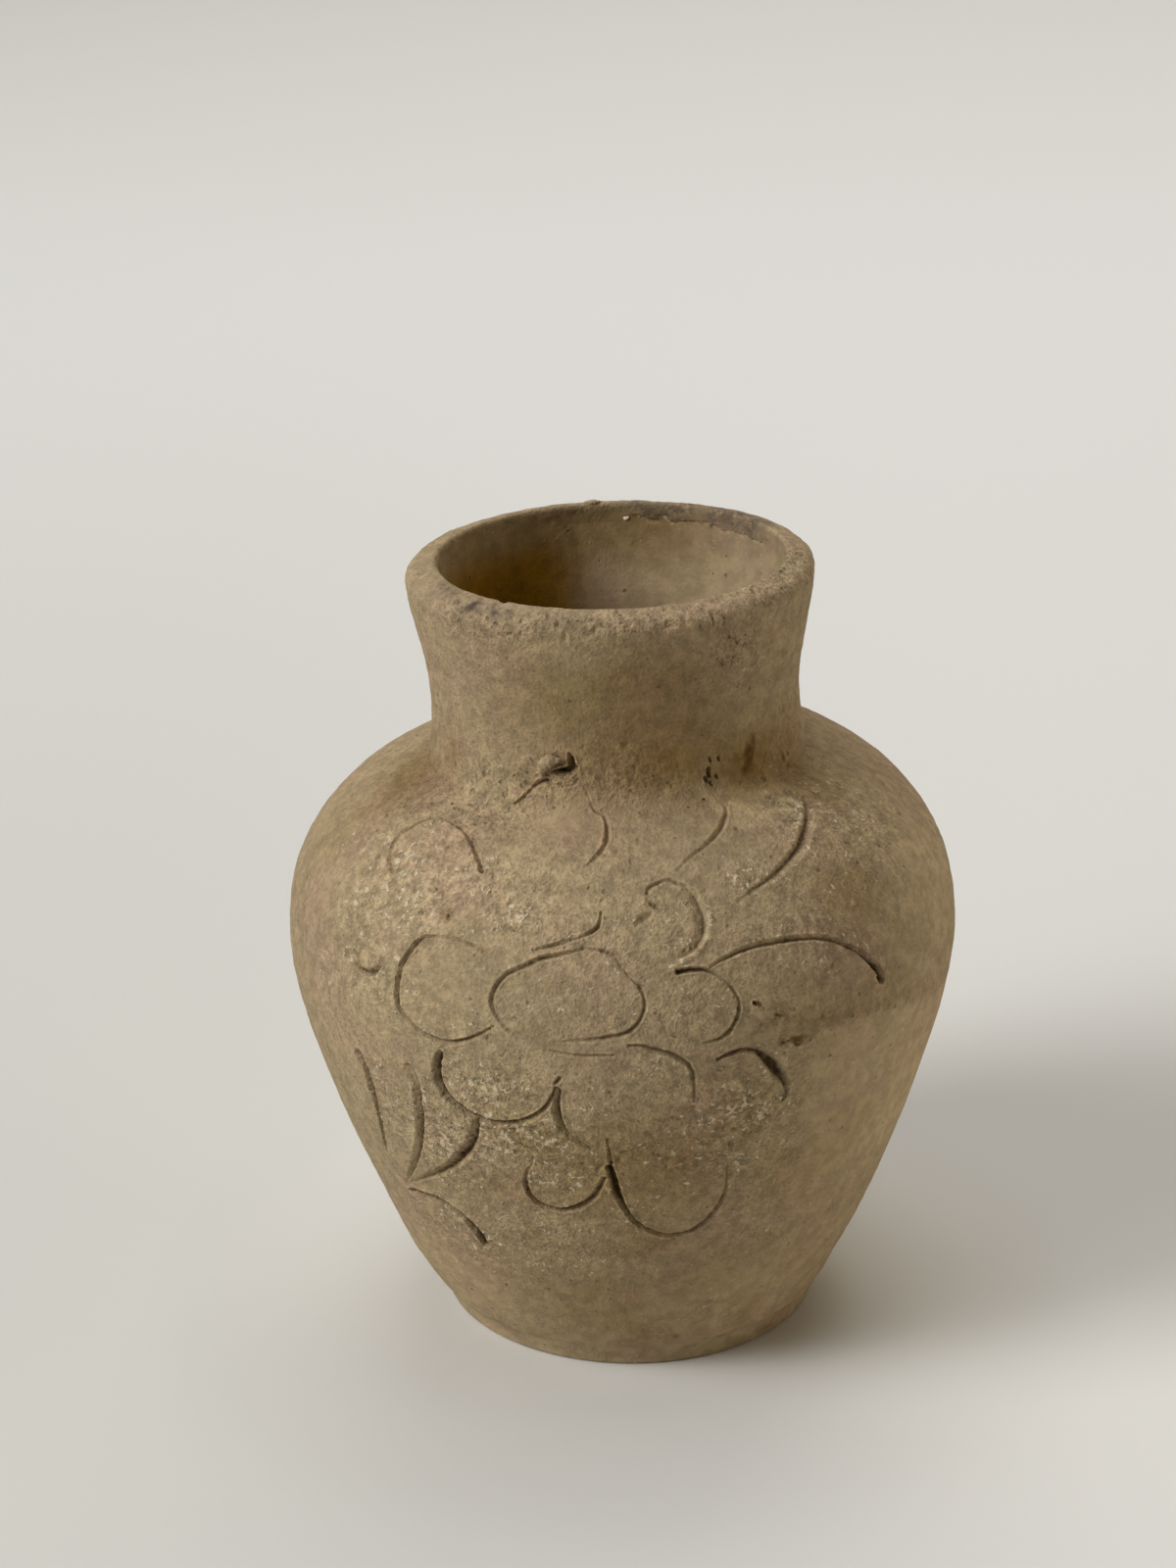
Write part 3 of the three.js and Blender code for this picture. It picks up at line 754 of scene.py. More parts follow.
class Spots:
    """Places on the skin: what the wear depends on there, and the height and marks that it leaves."""

    def __init__(self, along, degrees):
        self.along = along
        self.turn = np.radians(degrees)
        self.full_turn = degrees % 360
        self.degrees = (degrees + 180) % 360 - 180
        self.up_wall = along - UP_WALL_START
        self.place = unleaned(along, degrees)
        self.out = outward(along, degrees)
        self.outside = 1 - smooth_step(along, CREST - CREST_BLEND, CREST + CREST_BLEND)
        self.inside = 1 - self.outside


def soil(s):
    """Where the clay is pitted, crusted or stained."""
    s.pitted = patches(s.degrees, s.up_wall, PITTED) * s.outside
    s.pitted = np.clip(waves(s.place, PITTED_CLOUDS, start=s.pitted + PITTED_ANYWHERE), 0, 1)
    crusted = patches(s.degrees, s.up_wall, CRUSTED) * s.outside
    clumps = CRUST_CLUMPING * crusted * noise(s.place, size=3.5, seed=43)
    s.crusted = waves(s.place, CRUSTED_CLOUDS, start=crusted + CRUSTED_ANYWHERE) + clumps
    s.crusted = np.clip(s.crusted, 0, 1) * s.outside
    s.smoothed = patches(s.degrees, s.up_wall, SMOOTHED) * s.outside
    strayed = waves(s.place, STAIN_STRAYS_ROUND, start=s.degrees)
    stained = patches(strayed, waves(s.place, STAIN_STRAYS_UP, start=s.up_wall), STAINED)
    s.stained = smooth_step(stained, *STAIN_EDGE) * s.outside


def tint(s):
    """Where the clay is browner or paler, where painted shade tints it, and where the belly is bare."""
    strayed = waves(s.place, COLOUR_STRAYS_ROUND, start=s.degrees)
    s.browned = patches(strayed, waves(s.place, BROWN_STRAYS_UP, start=s.up_wall), BROWNED) * s.outside
    s.paled = patches(strayed, waves(s.place, PALE_STRAYS_UP, start=s.up_wall), PALED) * s.outside
    s.smoked = patches(strayed, s.up_wall, PAINTED_SHADE_SPOTS) * s.outside

    below_edge = waves(s.place, BARE_EDGE_WAVES, start=np.interp(s.degrees, *zip(*BARE_EDGE)) - s.up_wall)
    bare = smooth_step(below_edge, *BARE_BELOW_EDGE)
    bare *= smooth_step(waves(s.place, BARE_SIDE_WAVES, start=s.degrees), *BARE_ROUND)
    bare_rest = (1 - smooth_step(s.degrees, *BARE_ENDS_ROUND)) * smooth_step(s.up_wall, *BARE_UP_WALL)
    bare *= bare_rest * s.outside
    paler = BARE_PALE + BARE_PALER * smooth_step(s.degrees, *BARE_PALER_ROUND)
    s.paled = np.maximum(s.paled, paler * bare)
    s.smoothed = np.maximum(s.smoothed, BARE_SMOOTH * bare)
    s.crusted *= 1 - bare
    above_edge = ridge(below_edge + EDGE_ABOVE, EDGE_ABOVE) * smooth_step(s.degrees, *EDGE_ROUND)
    above_edge *= 1 - smooth_step(s.degrees, *EDGE_ENDS_ROUND)
    s.browned = np.maximum(s.browned, EDGE_BROWN * above_edge * s.outside)

    # Painted shade inside the neck at its left, where the rim's shadow falls, more of it further down; and
    # the neck is darker inside along its back
    height = s.place[:, 2]
    inner_shade_edge = waves(s.place, INNER_SHADE_EDGE_WAVES, start=-s.degrees)
    at_left = smooth_step(-s.degrees, *INNER_SHADE_AT_LEFT) * (1 - smooth_step(inner_shade_edge, *INNER_SHADE_ENDS_AT_BACK))
    in_neck = smooth_step(height, *INNER_SHADE_DOWN_NECK) * smooth_step(height, *INNER_SHADE_ABOVE_FLOOR)
    s.smoked = np.maximum(s.smoked, s.inside * at_left * in_neck)
    at_back = between(s.full_turn, BROWN_BACK, BROWN_BACK_ENDS)
    s.browned = np.maximum(s.browned, s.inside * at_back * smooth_step(height, *BROWN_UP_NECK))


def shape_by_hand(s):
    """Slow waves, rings from the fingers, small lumps, and upright marks of a stick inside."""
    s.height = waves(s.place, SLOW_WAVES)
    ring = np.column_stack([s.up_wall, np.cos(s.turn) * RING_STRETCH, np.sin(s.turn) * RING_STRETCH])
    s.height += waves(ring, FINGER_RINGS) * (0.4 + 0.6 * smooth_step(s.up_wall, *RINGS_UP_WALL))
    s.rough = (1 - SMOOTHED_LOSES * s.smoothed) * (1 - INSIDE_LOSES * s.inside)
    s.height += s.rough * waves(s.place, LUMPS)
    s.height += s.rough * (0.7 + 0.9 * np.maximum(s.pitted, s.crusted)) * waves(s.place, SAND)
    scraped = [np.cos(s.turn) * STICK_MARK_ROUND, np.sin(s.turn) * STICK_MARK_ROUND]
    scraped = np.column_stack([*scraped, s.place[:, 2] / STICK_MARK_LENGTH])
    s.height += s.inside * (waves(scraped, STICK_MARKS) + waves(s.place, LUMPS_INSIDE))


def roughen(s):
    """Pits where grit fell out, and the crust of lime that grew in the ground."""
    stray = [noise(s.place, PIT_STRAY_SIZE, seed) for seed in PIT_STRAY_SEEDS]
    strayed = s.place + PIT_STRAY * np.column_stack(stray)
    large = dents(strayed, size=2.6, seed=51, chance=0.45 * s.pitted, small=0.16, large=0.30)
    small = dents(strayed, size=1.3, seed=52, chance=0.85 * s.pitted, small=0.22, large=0.42)
    s.height -= np.maximum(large * LARGE_PIT, small * SMALL_PIT) * s.rough
    scab = smooth_step(waves(s.place, SCABS), 0.25, 0.7) * smooth_step(s.crusted, 0.3, 0.9)
    s.height += SCAB_HEIGHT * scab
    grain = GRAIN + GRAIN_ROUGH * np.maximum(s.pitted, s.crusted) - GRAIN_SMOOTH * s.smoothed
    grain -= GRAIN_LOW * (1 - smooth_step(s.up_wall, *GRAINY_UP_WALL))
    s.grain = np.clip(grain, *GRAIN_RANGE) * (1 - GRAIN_INSIDE * s.inside)


def cut_ornament(s):
    """The strokes, with clay pushed up beside them, paler partly as a painted highlight, and earth left in
    them that is partly painted shade.
    """
    low, high = ORNAMENT_UP_WALL
    front = (np.abs(s.degrees) < ORNAMENT_HALF_TURN) & (s.outside > 0.5)
    front &= (s.up_wall > low) & (s.up_wall < high)
    cut, core, burr = np.zeros((3, len(s.along)))
    picked = np.flatnonzero(front)
    cut[picked], core[picked], burr[picked] = cuts(s.place[picked], s.out[picked])
    s.height += burr - cut
    # The cut mark: earth in the cuts, darkest at their bottoms, partly painted shade in the grooves
    s.cut = np.maximum(0.92 * core, smooth_step(cut, 0.38, 0.95))
    # Pushed-up clay is paler and crusted; the paleness is partly a painted highlight along its ridges
    s.paled = np.maximum(s.paled, smooth_step(burr, 0.04, 0.22))
    s.crusted *= 1 - smooth_step(cut, 0.12, 0.4)
    s.crusted = np.maximum(s.crusted, 0.8 * smooth_step(burr, 0.03, 0.12))


def show_joints(s):
    """The seam at the belly, and the joint of the neck: a cove in front, a crease at the sides."""
    from_seam = s.up_wall - SEAM_UP_WALL
    uneven = waves(s.place, SEAM_UNEVENNESS, start=0.5)
    s.height += RIDGE_AT_SEAM * ridge(from_seam, 1.1) * uneven * s.outside
    from_neck = s.along - skin.mark["neck_joint"]
    cove = 0.25 + 0.75 * (1 - smooth_step(np.abs(s.degrees), *COVE_ENDS_ROUND))
    within = np.clip(COVE_REACH * np.sqrt(cove) - np.abs(from_neck), 0, None)
    s.height += cove * within ** 2 / COVE_ROUNDNESS * s.outside
    s.height -= CREASE_AT_NECK * (1 - cove) * ridge(from_neck, 0.55) * s.outside


def wear_lip(s):
    """A rough roll in front with upright nicks, bites out of the edges, and a ragged ledge at the back."""
    from_lip = s.along - skin.mark["lip_joint"]
    roll = smooth_step(waves(s.place, ROLL_EDGE_WAVES, start=from_lip), -0.5, 0.3) * s.outside
    in_front = 1 - smooth_step(np.abs(s.degrees), *LIP_FRONT_ENDS)
    s.height += ROLL_HEIGHT * roll * in_front
    face = smooth_step(from_lip, -0.6, 0.2) * (1 - smooth_step(s.along, CREST - 1.6, CREST - 0.6))
    upright = [np.sin(s.turn) * NICK_ROUND, np.cos(s.turn) * NICK_ROUND, s.up_wall * NICK_SHORTNESS]
    upright = np.column_stack(upright)
    s.height += (0.4 + in_front) * face * (waves(upright, LIP_NICKS) + waves(s.place, LIP_LUMPS))
    nicks = dents(upright, size=1.3, seed=70, chance=0.25 + 0.4 * in_front, small=0.16, large=0.34)
    s.height -= LIP_DENT * face * nicks
    bites = dents(s.place, size=3.1, seed=63, chance=0.30, small=0.2, large=0.45)
    bites *= smooth_step(from_lip, 0.4, 1.6)
    lip_ends = skin.mark["lip_joint_inside"]
    s.height -= LIP_BITE * bites * (1 - smooth_step(s.along, lip_ends - 1, lip_ends))

    height = s.place[:, 2]
    back_right = between(s.degrees, LEDGE_ROUND, LEDGE_ENDS_ROUND)
    ledge_line = waves(s.place * (1, 1, 0.2), LEDGE_WAVES, start=LEDGE_HEIGHT)
    ledge = smooth_step(height, ledge_line - 0.12, ledge_line + 0.12) * s.inside * back_right
    s.height += LEDGE_DROP * ledge
    # Under the ragged ledge a pale crusted edge: lime, and partly a painted highlight of the lit lower lip
    ledge_highlight_and_lime = ridge(height - ledge_line + 0.1, 0.45) * back_right * s.inside
    s.paled = np.maximum(s.paled, ledge_highlight_and_lime)
    s.crusted = np.maximum(s.crusted, ledge_highlight_and_lime)
    soot = back_right * smooth_step(height, ledge_line - 0.1, ledge_line + 0.1)
    soot = soot * smooth_step(s.along, CREST - 3.6, CREST - 2.0)
    soot *= np.clip(waves(s.place, SOOT_CLOUDS, start=0.55), 0, 1)
    smudged = patches(s.degrees, s.up_wall, SMUDGED)
    smudged = smudged * np.clip(waves(s.place, SMUDGE_CLOUDS, start=0.6), 0, 1) * s.outside
    s.soot = np.maximum(soot, smudged)


def settle_foot(s):
    """Thicker just above the foot at the left, smeared with clay at the kink, and flat on the table."""
    at_left = -np.sin(s.turn)
    s.height += (0.15 + 0.55 * at_left) * ridge(s.up_wall - THICK_UP_WALL, THICK_REACH) * s.outside
    s.height += (0.60 + 0.15 * at_left) * ridge(s.up_wall - KINK_UP_WALL, KINK_REACH) * s.outside
    standing = smooth_step(s.up_wall, *FREE_OF_TABLE)
    under = s.along < UP_WALL_START + 0.3
    s.height = np.where(under, 0, s.height * np.where(s.outside > 0.5, standing, 1))


# The marks that colour the clay, one of them a painted shade tint
MARKS = ("cut", "grain", "smoked", "pitted", "crusted", "stained", "soot", "browned", "paled")


def weathered(along, degrees):
    """The worn surface at places on the skin, before the jar leans, and the marks that colour it."""
    s = Spots(along, degrees)
    for step in (soil, tint, shape_by_hand, roughen, cut_ornament, show_joints, wear_lip, settle_foot):
        step(s)
    for name in ("smoked", "stained", "soot", "browned", "paled"):
        setattr(s, name, np.clip(getattr(s, name), 0, 1))
    return s.place + s.out * s.height[:, None], {name: getattr(s, name) for name in MARKS}


# Modelling: an outline is spun round the axis, divided once more along the ornament, and worn

def deselect_everything():
    bpy.ops.object.select_all(action="DESELECT")


def in_edit_mode(*steps):
    """Runs mesh operators, each (operator, settings), on the active object."""
    bpy.ops.object.mode_set(mode="EDIT")
    for operator, settings in steps:
        operator(**settings)
    bpy.ops.object.mode_set(mode="OBJECT")


SELECT_ALL = (bpy.ops.mesh.select_all, {"action": "SELECT"})
SELECT_NONE = (bpy.ops.mesh.select_all, {"action": "DESELECT"})
NORMALS_OUT = (bpy.ops.mesh.normals_make_consistent, {"inside": False})


def coordinates(mesh):
    co = np.empty(len(mesh.vertices) * 3)
    mesh.vertices.foreach_get("co", co)
    return co.reshape(-1, 3)


def set_coordinates(mesh, points):
    mesh.vertices.foreach_set("co", np.asarray(points, float).ravel())
    mesh.update()


def values_of(mesh, name):
    values = np.empty(len(mesh.vertices), np.float32)
    mesh.attributes[name].data.foreach_get("value", values)
    return values.astype(float)


def store(mesh, name, values):
    attribute = mesh.attributes.new(name, "FLOAT", "POINT")
    attribute.data.foreach_set("value", np.asarray(values, np.float32))


def rows(start, end, spacing):
    """Places along the skin between two marks, ends included, about a spacing apart."""
    a, b = skin.mark.get(start, 0.0), skin.mark[end]
    return np.linspace(a, b, max(2, round((b - a) / spacing) + 1))


def new_piece(name):
    """Names the object that a primitive has just made."""
    piece = bpy.context.object
    piece.name = piece.data.name = name
    return piece


def spun(name, along, closed):
    """Turns an outline, given by its places along the skin, about the axis."""
    deselect_everything()
    bpy.ops.mesh.primitive_circle_add(vertices=len(along), radius=BELLY_RADIUS * MM, fill_type="NOTHING")
    piece = new_piece(name)
    set_coordinates(piece.data, unleaned(along, 0) * MM)
    store(piece.data, "along", along)
    if not closed:
        for edge in piece.data.edges:
            edge.select = {0, len(along) - 1} == set(edge.vertices)
        bpy.context.tool_settings.mesh_select_mode = (False, True, False)
        in_edit_mode((bpy.ops.mesh.delete, {"type": "EDGE"}))
    turn = piece.modifiers.new("turn", "SCREW")
    turn.angle = math.tau
    turn.steps = turn.render_steps = COLUMNS
    turn.use_merge_vertices = True
    turn.merge_threshold = MERGE_DISTANCE
    bpy.ops.object.modifier_apply(modifier=turn.name)
    in_edit_mode(SELECT_ALL, (bpy.ops.mesh.remove_doubles, {"threshold": MERGE_DISTANCE}), NORMALS_OUT)
    return piece


def crowd_to_front(mesh):
    """Draws the columns together at the front, where the ornament is."""
    points = coordinates(mesh)
    radius = np.hypot(points[:, 0], points[:, 1])
    turn = np.arctan2(points[:, 0], -points[:, 1])
    turn -= FRONT_CROWDING * np.sin(turn)
    set_coordinates(mesh, np.column_stack([radius * np.sin(turn), -radius * np.cos(turn), points[:, 2]]))


def outer_limit():
    """Heights and radii just inside the outer surface, to tell it from the inner one."""
    outer = (skin.along > UP_WALL_START + 1) & (skin.along < skin.mark["lip_joint"])
    return skin.height[outer], skin.radius[outer] - 1.0


def divide_ornament(piece, reach):
    """Divides the faces within reach of a stroke once more."""
    mesh = piece.data
    centres = np.empty(len(mesh.polygons) * 3)
    mesh.polygons.foreach_get("center", centres)
    centres = centres.reshape(-1, 3) / MM
    outer = np.hypot(centres[:, 0], centres[:, 1]) > np.interp(centres[:, 2], *outer_limit())
    front = outer & (centres[:, 1] < 0) & (centres[:, 2] > ORNAMENT_BEGINS)
    chosen = np.zeros(len(centres), bool)
    for i in np.flatnonzero(front):
        chosen[i] = line_tree.find(centres[i])[2] < reach
    if not chosen.any():
        return
    deselect_everything()
    bpy.context.view_layer.objects.active = piece
    bpy.context.tool_settings.mesh_select_mode = (False, False, True)
    in_edit_mode(SELECT_NONE)
    mesh.polygons.foreach_set("select", chosen)
    in_edit_mode((bpy.ops.mesh.subdivide, {"number_cuts": 1}))


def wear(piece):
    """Moves every vertex from the smooth skin to the worn surface, and stores the marks."""
    mesh = piece.data
    points = coordinates(mesh)
    degrees = np.degrees(np.arctan2(points[:, 0], -points[:, 1]))
    worn, marks = weathered(values_of(mesh, "along"), degrees)
    set_coordinates(mesh, leaned(worn) * MM)
    for name, values in marks.items():
        store(mesh, name, values)


def finish_piece(piece, material, *nodes):
    deselect_everything()
    piece.select_set(True)
    bpy.context.view_layer.objects.active = piece
    bpy.ops.object.shade_smooth_by_angle(angle=SMOOTH_ANGLE)
    piece.data.materials.clear()
    piece.data.materials.append(material)
    if nodes:
        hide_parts(*nodes)
    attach(piece, "root")


def thrown_section(node, clay, closed, stretches):
    """One turned section of the jar, from stretches of the skin: (start, end, spacing)."""
    along = np.concatenate([rows(*stretch) for stretch in stretches])
    apart = np.concatenate([[True], np.abs(np.diff(along)) > MERGE_DISTANCE])
    piece = spun(node + "_fired", along[apart], closed)
    crowd_to_front(piece.data)
    for reach in DIVIDED_REACHES:
        divide_ornament(piece, reach)
    wear(piece)
    finish_piece(piece, fired_clay(clay, KHAKI, PINK, GREY), node)


def clay_crumb(name, material, path, half_width, half_height, lift, seed):
    """A rolled crumb of clay that lies along a short path of (degrees, up the wall).

    Its middle is lifted off the surface, and the seed is for its lumps.
    """
    deselect_everything()
    bpy.ops.mesh.primitive_uv_sphere_add(segments=28, ring_count=40, radius=1.0)
    piece = new_piece(name)
    ball = coordinates(piece.data)
    line = smooth_line(path, CRUMB_STEP)
    share = 1 - np.arccos(np.clip(ball[:, 2], -1, 1)) / math.pi
    step = np.linspace(0, 1, len(line))
    degrees = np.interp(share, step, line[:, 0])
    along = np.interp(share, step, line[:, 1]) + UP_WALL_START
    seat, marks = weathered(along, degrees)
    out = outward(along, degrees)
    run = np.gradient(unleaned(line[:, 1] + UP_WALL_START, line[:, 0]), axis=0)
    run = np.column_stack([np.interp(share, step, run[:, k]) for k in range(3)])
    side = np.cross(run, out)
    side /= np.linalg.norm(side, axis=1)[:, None]
    lumpy = waves(ball * 1.5 + share[:, None] * 4, [(CRUMB_LUMPS, 1.1, seed)], start=1)
    points = seat + side * (ball[:, 0] * half_width * lumpy)[:, None]
    points += out * (ball[:, 1] * half_height * lumpy + lift)[:, None]
    set_coordinates(piece.data, leaned(points) * MM)
    for label, values in marks.items():
        store(piece.data, label, values * (label == "grain"))
    in_edit_mode(SELECT_ALL, NORMALS_OUT)
    finish_piece(piece, material)


# Materials

class Nodes:
    """Short ways to add and join shader nodes."""

    def __init__(self, tree):
        self.tree = tree

    def add(self, kind, **settings):
        node = self.tree.nodes.new(kind)
        for name, value in settings.items():
            setattr(node, name, value)
        return node

    def join(self, source, target):
        self.tree.links.new(source, target)

    def put(self, socket, value):
        if isinstance(value, bpy.types.NodeSocket):
            self.join(value, socket)
        else:
            socket.default_value = value

    def math(self, operation, a, b=0.0):
        node = self.add("ShaderNodeMath", operation=operation)
        self.put(node.inputs[0], a)
        self.put(node.inputs[1], b)
        return node.outputs[0]

    def times(self, a, b):
        return self.math("MULTIPLY", a, b)

    def plus(self, a, b):
        return self.math("ADD", a, b)

    def minus(self, a, b):
        return self.math("SUBTRACT", a, b)

    def band(self, value, low, high, start=0.0, end=1.0):
        """Goes smoothly from start to end while the value goes from low to high."""
        node = self.add("ShaderNodeMapRange", interpolation_type="SMOOTHSTEP")
        sockets = ("Value", "From Min", "From Max", "To Min", "To Max")
        for socket, given in zip(sockets, (value, low, high, start, end)):
            self.put(node.inputs[socket], given)
        return node.outputs["Result"]

    def mix(self, share, a, b, blend="MIX"):
        node = self.add("ShaderNodeMix", data_type="RGBA", blend_type=blend)
        self.put(node.inputs["Factor"], share)
        self.put(node.inputs[6], a)
        self.put(node.inputs[7], b)
        return node.outputs[2]

    def shade(self, colour, factor, share=1.0):
        """The colour times a factor, where a share says so."""
        return self.mix(share, colour, factor, "MULTIPLY")

    def noise(self, place, size, detail=2.0, roughness=0.5, distortion=0.0, output="Fac"):
        node = self.add("ShaderNodeTexNoise")
        sockets = ("Vector", "Scale", "Detail", "Roughness", "Distortion")
        for socket, given in zip(sockets, (place, 1.0 / size, detail, roughness, distortion)):
            self.put(node.inputs[socket], given)
        return node.outputs[output]

    def cells(self, place, size, channel):
        """Distance from the nearest of scattered points, and a number from 0 to 1 that belongs to it."""
        node = self.add("ShaderNodeTexVoronoi", feature="F1")
        self.put(node.inputs["Vector"], place)
        self.put(node.inputs["Scale"], 1.0 / size)
        parts = self.add("ShaderNodeSeparateColor")
        self.join(node.outputs["Color"], parts.inputs["Color"])
        return node.outputs["Distance"], parts.outputs[channel]


def new_group(name, inputs, outputs):
    """An empty node group with its sockets: inputs (name, kind, value) and outputs (name, kind)."""
    tree = bpy.data.node_groups.new(name, "ShaderNodeTree")
    for label, kind, value in inputs:
        socket = tree.interface.new_socket(name=label, in_out="INPUT", socket_type=kind)
        if value is not None:
            socket.default_value = value
    for label, kind in outputs:
        tree.interface.new_socket(name=label, in_out="OUTPUT", socket_type=kind)
    nodes = Nodes(tree)
    return tree, nodes, nodes.add("NodeGroupInput"), nodes.add("NodeGroupOutput")


# Sizes of the pattern in millimetres, plain colours of what lies in and on the clay, and the tint of painted
# shade
CLOUD, DRIFT, MOTTLE, LUMP, SPECK, FINE_SAND = 15, 5.5, 2.4, 1.25, 0.5, 0.24
GRIT_SPACING = 0.95
FLECK, FLECK_CROWD = 0.85, 2.6
HOLE_SPACING, HOLE_STRAY_SIZE, HOLE_STRAY = 1.05, 0.625, (0.9, 0.9, 0.9)
PATCH = 1.4
PALE_GRIT = (0.60, 0.50, 0.34, 1)
DARK_GRIT = (0.08, 0.055, 0.03, 1)
HOLE_BROWN = (0.085, 0.055, 0.028, 1)
CRUST_CREAM = (0.70, 0.59, 0.40, 1)
# Earth in the cuts, which partly stands for painted shade in them
EARTH_AND_GROOVE_SHADE = (0.064, 0.034, 0.010, 1)
RUST = (0.098, 0.046, 0.005, 1)
SOOT_GREY = (0.070, 0.056, 0.044, 1)
BROWNER = (0.73, 0.67, 0.52, 1)
# The tint of painted shade: dark brown, nearly without blue
PAINTED_SHADE_TINT = (0.78, 0.53, 0.03, 1)
PALER = (1.26, 1.26, 1.24, 1)
PALE_KHAKI = (0.44, 0.335, 0.20, 1)
LIME = (0.78, 0.72, 0.60, 1)
KHAKI = (0.353, 0.269, 0.154, 1)
PINK = (0.350, 0.252, 0.154, 1)
GREY = (0.242, 0.181, 0.106, 1)
CLAY_ROUGHNESS, CLAY_SHEEN = 0.93, 0.22

# Sockets of the groups that say where something lies on the clay
PLACE_INPUT = ("Place in mm", "NodeSocketVector", None)
MASK_INPUTS = [PLACE_INPUT, ("Amount", "NodeSocketFloat", 0.0)]
MASK_OUTPUT = [("Mask", "NodeSocketFloat")]


def sandy_body_group():
    """The clay: firing colours in soft clouds, and lumpy sand whose tops are paler. Heights are in mm."""
    tree, n, given, result = new_group(
        "sandy_body",
        [PLACE_INPUT, *((colour, "NodeSocketColor", None) for colour in ("Khaki", "Pink", "Grey")),
         ("Grain", "NodeSocketFloat", 0.5)],
        [("Colour", "NodeSocketColor"), ("Height", "NodeSocketFloat")])
    place = given.outputs["Place in mm"]
    clouds = n.band(n.noise(place, CLOUD, 3, 0.6), 0.42, 0.64)
    drift = n.band(n.noise(place, DRIFT, 3, 0.6), 0.45, 0.75)
    colour = n.mix(clouds, given.outputs["Khaki"], given.outputs["Pink"])
    colour = n.mix(n.times(drift, 0.22), colour, given.outputs["Grey"])
    colour = n.shade(colour, n.band(n.noise(place, MOTTLE, 2, 0.55), 0.36, 0.64, 0.90, 1.10))
    fine = n.noise(place, FINE_SAND, 1)
    relief = n.plus(n.times(n.noise(place, LUMP), 0.45), n.times(n.noise(place, SPECK, 2, 0.6), 0.55))
    shaded = n.shade(colour, n.band(relief, 0.38, 0.62, 0.76, 1.22))
    shaded = n.shade(shaded, n.band(fine, 0.25, 0.75, 0.92, 1.08))
    colour = n.mix(given.outputs["Grain"], colour, shaded)
    distance, lot = n.cells(place, GRIT_SPACING, "Red")
    grit = n.band(distance, 0.30, 0.16)
    pale = n.times(grit, n.math("GREATER_THAN", lot, 0.95))
    dark = n.times(grit, n.math("LESS_THAN", lot, 0.04))
    colour = n.mix(n.times(pale, 0.35), colour, PALE_GRIT)
    colour = n.mix(n.times(dark, 0.5), colour, DARK_GRIT)
    height = n.times(n.plus(n.times(relief, 0.78), n.times(fine, 0.07)), given.outputs["Grain"])
    n.join(colour, result.inputs["Colour"])
    n.join(n.plus(height, n.times(pale, 0.04)), result.inputs["Height"])
    return tree


def lime_crust_group():
    """Pale ragged flecks of lime, thick where the crust mask is strong."""
    tree, n, given, result = new_group("lime_crust", MASK_INPUTS, MASK_OUTPUT)
    place, amount = given.outputs["Place in mm"], given.outputs["Amount"]
    flecks = n.noise(place, FLECK, 2, 0.6, 0.5)
    level = n.minus(0.69, n.times(amount, 0.17))
    level = n.minus(level, n.times(n.minus(n.noise(place, FLECK_CROWD), 0.5), 0.3))
    mask = n.band(n.minus(flecks, level), -0.01, 0.10)
    n.join(n.times(mask, n.band(amount, 0.04, 0.22)), result.inputs["Mask"])
    return tree


def pinholes_group():
    """Small uneven holes that grit and burnt straw left, many where the pitting mask is strong."""
    tree, n, given, result = new_group("pinholes", MASK_INPUTS, MASK_OUTPUT)
    place, amount = given.outputs["Place in mm"], given.outputs["Amount"]
    strayed = n.add("ShaderNodeVectorMath", operation="MULTIPLY_ADD")
    n.join(n.noise(place, HOLE_STRAY_SIZE, output="Color"), strayed.inputs[0])
    strayed.inputs[1].default_value = HOLE_STRAY
    n.join(place, strayed.inputs[2])
    distance, lot = n.cells(strayed.outputs["Vector"], HOLE_SPACING, "Green")
    chance = n.plus(n.times(n.times(amount, amount), 0.55), 0.008)
    n.join(n.times(n.band(distance, 0.36, 0.10), n.math("LESS_THAN", lot, chance)), result.inputs["Mask"])
    return tree


SANDY_BODY = sandy_body_group()
LIME_CRUST = lime_crust_group()
PINHOLES = pinholes_group()


def principled(name):
    """A new material, with short ways to add nodes, its shader and its Object coordinates."""
    material = bpy.data.materials.new(name)
    material.use_nodes = True
    n = Nodes(material.node_tree)
    where = n.add("ShaderNodeTexCoord").outputs["Object"]
    return material, n, material.node_tree.nodes["Principled BSDF"], where


